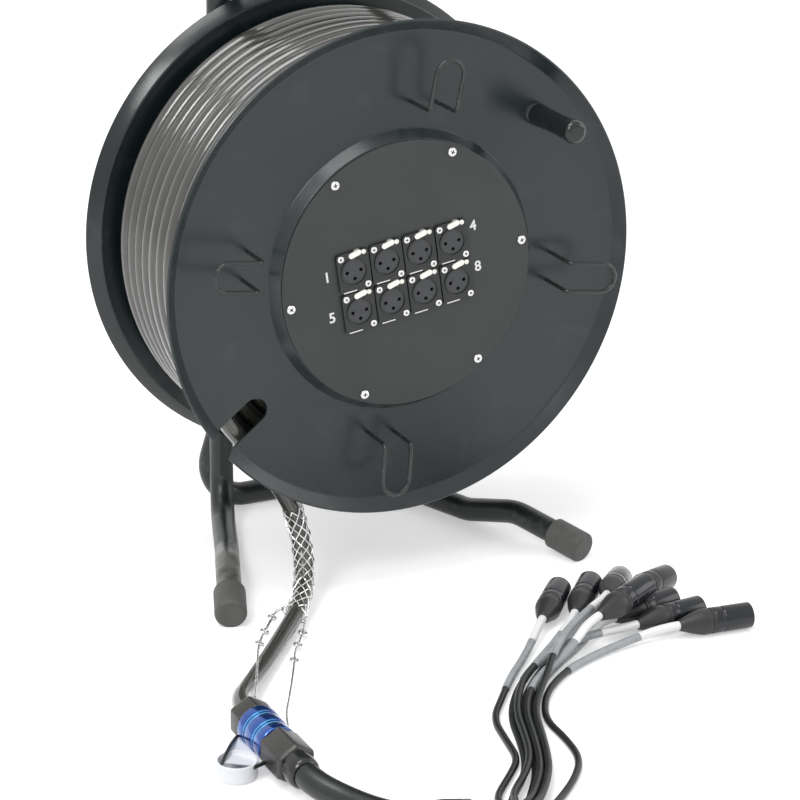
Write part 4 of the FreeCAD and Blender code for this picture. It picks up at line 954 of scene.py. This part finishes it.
# %% Trunk and breakout
BUNDLE = [
    (-0.132, -0.447), (-0.1223, -0.4513), (-0.1088, -0.4507), (-0.0934, -0.443), (-0.0814, -0.4272),
    (-0.06, -0.399), (-0.049, -0.376), (-0.039, -0.35), (-0.029, -0.321), (-0.012, -0.295),
]
TRUNK_ROUTE = [
    (-0.208, -0.356, 0.0156), (-0.204, -0.37, 0.0134), (-0.1955, -0.3855, 0.011),
    (-0.1875, -0.402, 0.0106),
    (-0.1805, -0.4155, 0.0114),
]
BREAKOUT_RADIUS = 0.0125
BREAKOUT_LENGTH = 0.032
BREAKOUT_ENTRY = 0.010
TRUNK_LEAD = 0.0085
FLOOR_GAP = 0.0001

nose = Vector((*BUNDLE[0], BREAKOUT_RADIUS + FLOOR_GAP))
nose_ahead = (Vector((*BUNDLE[1], nose.z)) - nose).normalized()
trunk_end = nose - nose_ahead * (BREAKOUT_LENGTH - BREAKOUT_ENTRY)
trunk_last = trunk_end - nose_ahead * (BREAKOUT_ENTRY + TRUNK_LEAD)
trunk_start = Vector((CONNECTOR_X, CONNECTOR_Y - boot_start, CONNECTOR_Z))
trunk_points = [trunk_start] + [Vector(point) for point in TRUNK_ROUTE] + [trunk_last, trunk_end]
trunk = settle(line("trunk", trunk_points, TRUNK / 2, sides=7), trunk_rubber, "stand",
    ["fanout_trunk"])

split = turned("split", [
    (TRUNK / 2, 0.0), (0.0104, 0.0), (0.0110, 0.0006), (BREAKOUT_RADIUS - 0.0002, BREAKOUT_ENTRY),
    (BREAKOUT_RADIUS, BREAKOUT_ENTRY + 0.002),
    (BREAKOUT_RADIUS, BREAKOUT_LENGTH - 0.003), (BREAKOUT_RADIUS - 0.0012, BREAKOUT_LENGTH - 0.0008),
    (BREAKOUT_RADIUS - 0.0035, BREAKOUT_LENGTH),
    (0.0005, BREAKOUT_LENGTH),
], sides=48)
moved(split, pointing(nose - nose_ahead * BREAKOUT_LENGTH, nose_ahead))
settle(split, boot_rubber, "stand", ["breakout"])

# %% [markdown]
# ## Tails and plugs
# Eight tails lie side by side and on each other in two levels, and each one ends in a grey and a
# white shrink sleeve and a plug with a ridged boot. A tail's lane beside the bundle's middle line
# gives its route, as in the CAD model; the stretch before the plugs is a given list.

# %% Routes of the tails
SPREAD = (0.0058, 0.0058, 0.0058, 0.0058, 0.0058, 0.0058, 0.0058, 0.006, 0.0066, 0.0072)
FAN_SHARES = (0, 0.1, 0.25, 0.5, 1, 1, 1, 1, 1, 1)
NOSE = {
    1: (1.5, -0.5), 2: (0.5, -0.5), 6: (-0.5, -0.5), 5: (-1.5, -0.5), 7: (1.5, 0.5), 4: (0.5, 0.5),
    3: (-0.5, 0.5), 8: (-1.5, 0.5),
}
LANES = {
    1: (2, 0), 2: (1, 0), 6: (0, 0), 5: (-1, 0), 8: (-2, 0), 7: (0.5, 1), 4: (-0.5, 1), 3: (-1.5, 1),
}
LEVEL_SHARE = 0.88
STRAY = {
    1: (0, 0.0008, 0.0014, 0.0035, 0.0103, 0.006, -0.001, 0.003, 0.006, 0.001),
    2: (0, 0.0004, 0.0013, 0.0036, 0.006, 0.002, 0, 0, 0, 0),
    7: (0, 0, 0, 0, 0.008, 0.003, 0, 0, 0, 0),
    3: (0, 0, 0.0005, 0, 0, 0, 0, 0, 0, 0),
    8: (0, -0.001, -0.004, -0.004, -0.006, -0.014, -0.02, -0.014, -0.004, 0),
}
PLUGS = {
    1: ((0.0577, -0.1962), 48.3, 0, 0),
    2: ((0.0851, -0.1967), 48.4, 0, 0),
    3: ((0.111, -0.1987), 49, 0.011, -0.011),
    4: ((0.0821, -0.2367), 22.6, 0.0152, 0.0053),
    5: ((0.1078, -0.2164), 10.9, 0, 0),
    6: ((0.1325, -0.1968), 30, 0.009, -0.009),
    7: ((0.117, -0.2336), 5.7, 0, 0),
    8: ((0.1443, -0.2481), -5.2, 0, 0),
}
FAN_ROUTES = {
    1: [
        (-0.005, -0.262, 0.0034), (0.017, -0.24, 0.0038), (0.034, -0.222, 0.006),
    ],
    2: [
        (0.004, -0.266, 0.0034), (0.03, -0.2435, 0.0038), (0.054, -0.2245, 0.0055),
    ],
    3: [
        (0.01, -0.287, 0.013), (0.03, -0.262, 0.018), (0.057, -0.236, 0.0195), (0.084, -0.221, 0.024),
    ],
    4: [
        (0.012, -0.277, 0.0099), (0.033, -0.263, 0.0102), (0.052, -0.2525, 0.015),
    ],
    5: [
        (0.012, -0.277, 0.0034), (0.036, -0.257, 0.0035), (0.062, -0.24, 0.004), (0.08, -0.227, 0.006),
    ],
    6: [
        (0.008, -0.273, 0.0034), (0.034, -0.249, 0.0035), (0.06, -0.231, 0.005),
        (0.082, -0.2175, 0.013),
        (0.1015, -0.214, 0.017),
    ],
    7: [
        (0.002, -0.272, 0.0096), (0.026, -0.255, 0.0105), (0.051, -0.243, 0.0115),
        (0.077, -0.238, 0.0115),
    ],
    8: [
        (0.017, -0.284, 0.0034), (0.04, -0.267, 0.0035), (0.07, -0.2545, 0.0038),
        (0.101, -0.2475, 0.0055),
    ],
}
ENTRY_RUN = 0.014
SLEEVE_LIFT = 0.0007
TAIL = 0.0052
PLUG_RADIUS = 0.0098
PLUG_BOOT = 0.027
PLUG_SHELL = 0.031


def plug_axis(index):
    """Where a plug's boot begins, and the way that the plug points."""
    (x, y), heading, lift, rise = PLUGS[index]
    flat = math.sqrt((PLUG_BOOT + PLUG_SHELL) ** 2 - rise ** 2)
    ahead = Vector(
        (flat * math.cos(math.radians(heading)), flat * math.sin(math.radians(heading)),
        rise)).normalized()
    return Vector((x, y, PLUG_RADIUS + FLOOR_GAP + lift)), ahead


def bundle_point(index, station):
    """A tail's place in the bundle, beside the bundle's middle line."""
    last = len(BUNDLE) - 1
    ahead = (Vector(BUNDLE[min(station + 1, last)]) - Vector(BUNDLE[max(station - 1, 0)])).normalized()
    left = Vector((-ahead.y, ahead.x, 0))
    lane, level = LANES[index]
    column, row = NOSE[index]
    share = FAN_SHARES[station]
    pitch = SPREAD[station]
    floor = TAIL / 2 + FLOOR_GAP + (SLEEVE_LIFT if station == last else 0)
    across = pitch * (column * (1 - share) + lane * share) + STRAY.get(index,
        [0] * len(BUNDLE))[station]
    height = (nose.z + row * pitch) * (1 - share) + (floor + level * LEVEL_SHARE * pitch) * share
    return Vector((*BUNDLE[station], height)) + left * across


def tail_points(index):
    entry, ahead = plug_axis(index)
    points = [bundle_point(index, station) for station in range(len(BUNDLE))]
    return points + [Vector(point) for point in FAN_ROUTES[index]] + [entry - ahead * ENTRY_RUN, entry]


# %% Plug, modelled once
NECK = 0.0044
RIDGES = 9


def plug_boot_master():
    """The rubber boot: a neck that swells to the shell, with moulded ridges along its slope."""
    stations = [(TAIL / 2, 0.0), (NECK - 0.0004, 0.0), (NECK, 0.0006), (0.0056, 0.0040)]
    stations += [(0.0072, 0.0085), (0.0086, 0.0130), (PLUG_RADIUS - 0.0004, 0.0168),
        (PLUG_RADIUS, 0.0185), (PLUG_RADIUS, 0.0235)]
    stations += [(PLUG_RADIUS - 0.0007, 0.0239), (PLUG_RADIUS - 0.0007, 0.0249), (PLUG_RADIUS, 0.0253),
        (PLUG_RADIUS, PLUG_BOOT), (TAIL / 2, PLUG_BOOT)]
    piece = turned("plug_boot", stations, sides=RIDGES * 6, close=True)
    for vertex in piece.data.vertices:
        out = math.hypot(vertex.co.x, vertex.co.y)
        if 0.002 < vertex.co.z < 0.0175 and out > NECK:
            turn = math.atan2(vertex.co.y, vertex.co.x)
            pinch = 1 - 0.055 * (0.5 + 0.5 * math.cos(RIDGES * turn)) * math.sin(
                math.pi * (vertex.co.z - 0.002) / 0.0155)
            vertex.co.x *= pinch
            vertex.co.y *= pinch
    return bevelled(piece, 0.0002, 2, degrees=38)


def plug_shell_master():
    """The glossy shell, open at its end, with room for three pins inside."""
    end = PLUG_BOOT + PLUG_SHELL
    shell = turned("plug_shell", [
        (0.0005, PLUG_BOOT), (PLUG_RADIUS - 0.0003, PLUG_BOOT),
        (PLUG_RADIUS - 0.0003, PLUG_BOOT + 0.0005), (PLUG_RADIUS, PLUG_BOOT + 0.0010),
        (PLUG_RADIUS, PLUG_BOOT + 0.0060), (PLUG_RADIUS - 0.0004, PLUG_BOOT + 0.0066),
        (PLUG_RADIUS - 0.0004, PLUG_BOOT + 0.0076),
        (PLUG_RADIUS, PLUG_BOOT + 0.0082), (PLUG_RADIUS, end - 0.0006), (PLUG_RADIUS - 0.0005, end),
        (0.0086, end), (0.0083, end - 0.0006),
        (0.0083, end - 0.013), (0.0005, end - 0.013),
    ], sides=56)
    return bevelled(shell, 0.00015, 2)


def plug_pins_master():
    pins = []
    for index, turn in enumerate((90, 210, 330)):
        pin = turned(f"pin_{index}",
            [(0.0012, 0.0), (0.0012, 0.009), (0.0010, 0.0098), (0.0004, 0.0103)], sides=14,
            cap_end=True)
        spot = Vector(
            (0.0042 * math.cos(math.radians(turn)), 0.0042 * math.sin(math.radians(turn)),
            PLUG_BOOT + PLUG_SHELL - 0.013))
        pins.append(moved(pin, Matrix.Translation(spot)))
    return joined("plug_pins", pins)


# %% Tails, sleeves and plugs
WHITE_LENGTH = 0.034
GREY_LENGTH = 0.076
WHITE_RADIUS = 0.0033
GREY_RADIUS = 0.0031

boot_master = plug_boot_master()
shell_master = plug_shell_master()
pins_master = plug_pins_master()
for index in sorted(PLUGS):
    points = tail_points(index)
    settle(line(f"tail_cord_{index}", points, TAIL / 2, sides=4, steps=7), tail_jacket,
        "stand", [f"tail_{index}"])
    spots = traced(points, steps=7)
    whole = length_of(spots)
    white = meshed(
        line(f"white_sleeve_{index}", stretch(spots, whole - WHITE_LENGTH, whole - 1e-5), WHITE_RADIUS,
        sides=4, kind="POLY"))
    grey = meshed(
        line(f"grey_sleeve_{index}",
        stretch(spots, whole - WHITE_LENGTH - GREY_LENGTH, whole - WHITE_LENGTH), GREY_RADIUS, sides=4,
        kind="POLY"))
    entry, ahead = plug_axis(index)
    where = pointing(entry, ahead)
    rubber = copied(boot_master, f"plug_boot_{index}", where)
    shell = copied(shell_master, f"plug_shell_{index}", where)
    pins = copied(pins_master, f"plug_pins_{index}", where)
    settle(white, white_shrink, "stand", ["white_sleeves"])
    settle(grey, grey_shrink, "stand", ["grey_sleeves"])
    settle(rubber, plug_rubber, "stand", ["plug_boots"])
    settle(shell, plug_gloss, "stand", ["plug_shells"])
    settle(pins, zinc, "stand")
    print(f"tail {index}: {whole:.3f} m")
for master in (boot_master, shell_master, pins_master):
    bpy.data.objects.remove(master)

# %% [markdown]
# ## Panel trim
# The eight sockets carry bright tabs with a small round button, and each flange has a pale edge
# line. The rows are numbered at their ends. The panel is turned nine degrees on the drum, so one
# matrix gives the panel's own frame.

# %% The panel's frame, its lines, buttons and numbers
PANEL_TURN = math.radians(9)
PANEL_FRONT = 0.0851
SOCKET_LEFT = -0.04284
SOCKET_PITCH = 0.0271
ROWS = (0.01499, -0.01671)
SOCKET_FLANGE = 0.002
panel_frame = drum_frame @ spun(PANEL_TURN, "Z")
sockets = [(SOCKET_LEFT + SOCKET_PITCH * column, row) for row in ROWS for column in range(4)]


def slab(name, width, height, depth, edge):
    """A small bar with rounded edges, its back at z = 0."""
    bpy.ops.object.select_all(action="DESELECT")
    bpy.ops.mesh.primitive_cube_add(size=1, location=(0, 0, 0))
    piece = bpy.context.object
    piece.name = name
    piece.data.transform(
        Matrix.Translation((0, 0, depth / 2)) @ Matrix.Diagonal((width, height, depth, 1)))
    return bevelled(piece, edge, 2)


line_master = slab("edge_line", 0.0108, 0.0008, 0.0003, 0.0001)
button_master = bevelled(
    turned("button", [(0.0019, 0.0), (0.0019, 0.0007), (0.0013, 0.0011), (0.0003, 0.0012)], sides=20,
    cap_end=True), 0.0002, 2)
lines = []
buttons = []
for number, (x, y) in enumerate(sockets):
    spot = panel_frame @ Matrix.Translation((x - 0.0052, y - 0.0146, PANEL_FRONT + SOCKET_FLANGE))
    lines.append(copied(line_master, f"line_{number}", spot))
    spot = panel_frame @ Matrix.Translation((x + 0.0093, y + 0.0132, PANEL_FRONT + SOCKET_FLANGE))
    buttons.append(copied(button_master, f"button_{number}", spot))
for master in (line_master, button_master):
    bpy.data.objects.remove(master)
# Each screw's cross recess is two flat near-black bars that stand just above the head: painted shade in
# place of a sunken recess.
SCREW_CIRCLE = 0.0958
SCREW_TOP = PANEL_FRONT + 0.002
SOCKET_SCREW_TOP = PANEL_FRONT + SOCKET_FLANGE + 0.001
CROSS_STEP = 37
CROSS_SINK = 0.00012
crosses = []
for wide, spots in (
    (0.0034, [(SCREW_CIRCLE * math.cos(math.radians(60 * step)),
    SCREW_CIRCLE * math.sin(math.radians(60 * step)), SCREW_TOP) for step in range(6)]),
    (0.0026, [(x + side * 0.0095, y - side * 0.012, SOCKET_SCREW_TOP) for x,
    y in sockets for side in (-1, 1)]),
):
    cross_bar = slab("cross_bar", wide, wide * 0.24, 0.0002, 0.00004)
    for number, spot in enumerate(spots):
        for turn in (20, 110):
            place = panel_frame @ Matrix.Translation(spot)
            place = place @ spun(math.radians(turn + CROSS_STEP * number), "Z")
            place = place @ Matrix.Translation((0, 0, -CROSS_SINK))
            crosses.append(copied(cross_bar, f"cross_{wide}_{number}_{turn}", place))
    bpy.data.objects.remove(cross_bar)
settle(joined("screw_crosses", crosses), painted_recess_shade, "drum")
settle(joined("socket_lines", lines), number_paint, "drum")
settle(joined("socket_buttons", buttons), latch_metal, "drum")

NUMBERS = {"1": (-0.0640, 0.0153), "5": (-0.0645, -0.0165), "4": (0.0577, 0.0218),
    "8": (0.0577, -0.0107)}
NUMBER_HEIGHT = 0.0078
for text, (x, y) in NUMBERS.items():
    bpy.ops.object.select_all(action="DESELECT")
    bpy.ops.object.text_add()
    number = bpy.context.object
    number.name = f"number_{text}"
    number.data.body = text
    number.data.align_x = "CENTER"
    number.data.align_y = "CENTER"
    number.data.size = NUMBER_HEIGHT * 1.4
    number.data.extrude = 0.00006
    number.data.offset = 0.00022
    number = meshed(number)
    moved(number, panel_frame @ Matrix.Translation((x, y, PANEL_FRONT + 0.00008)))
    number.matrix_world = Matrix.Identity(4)
    settle(number, number_paint, "drum")
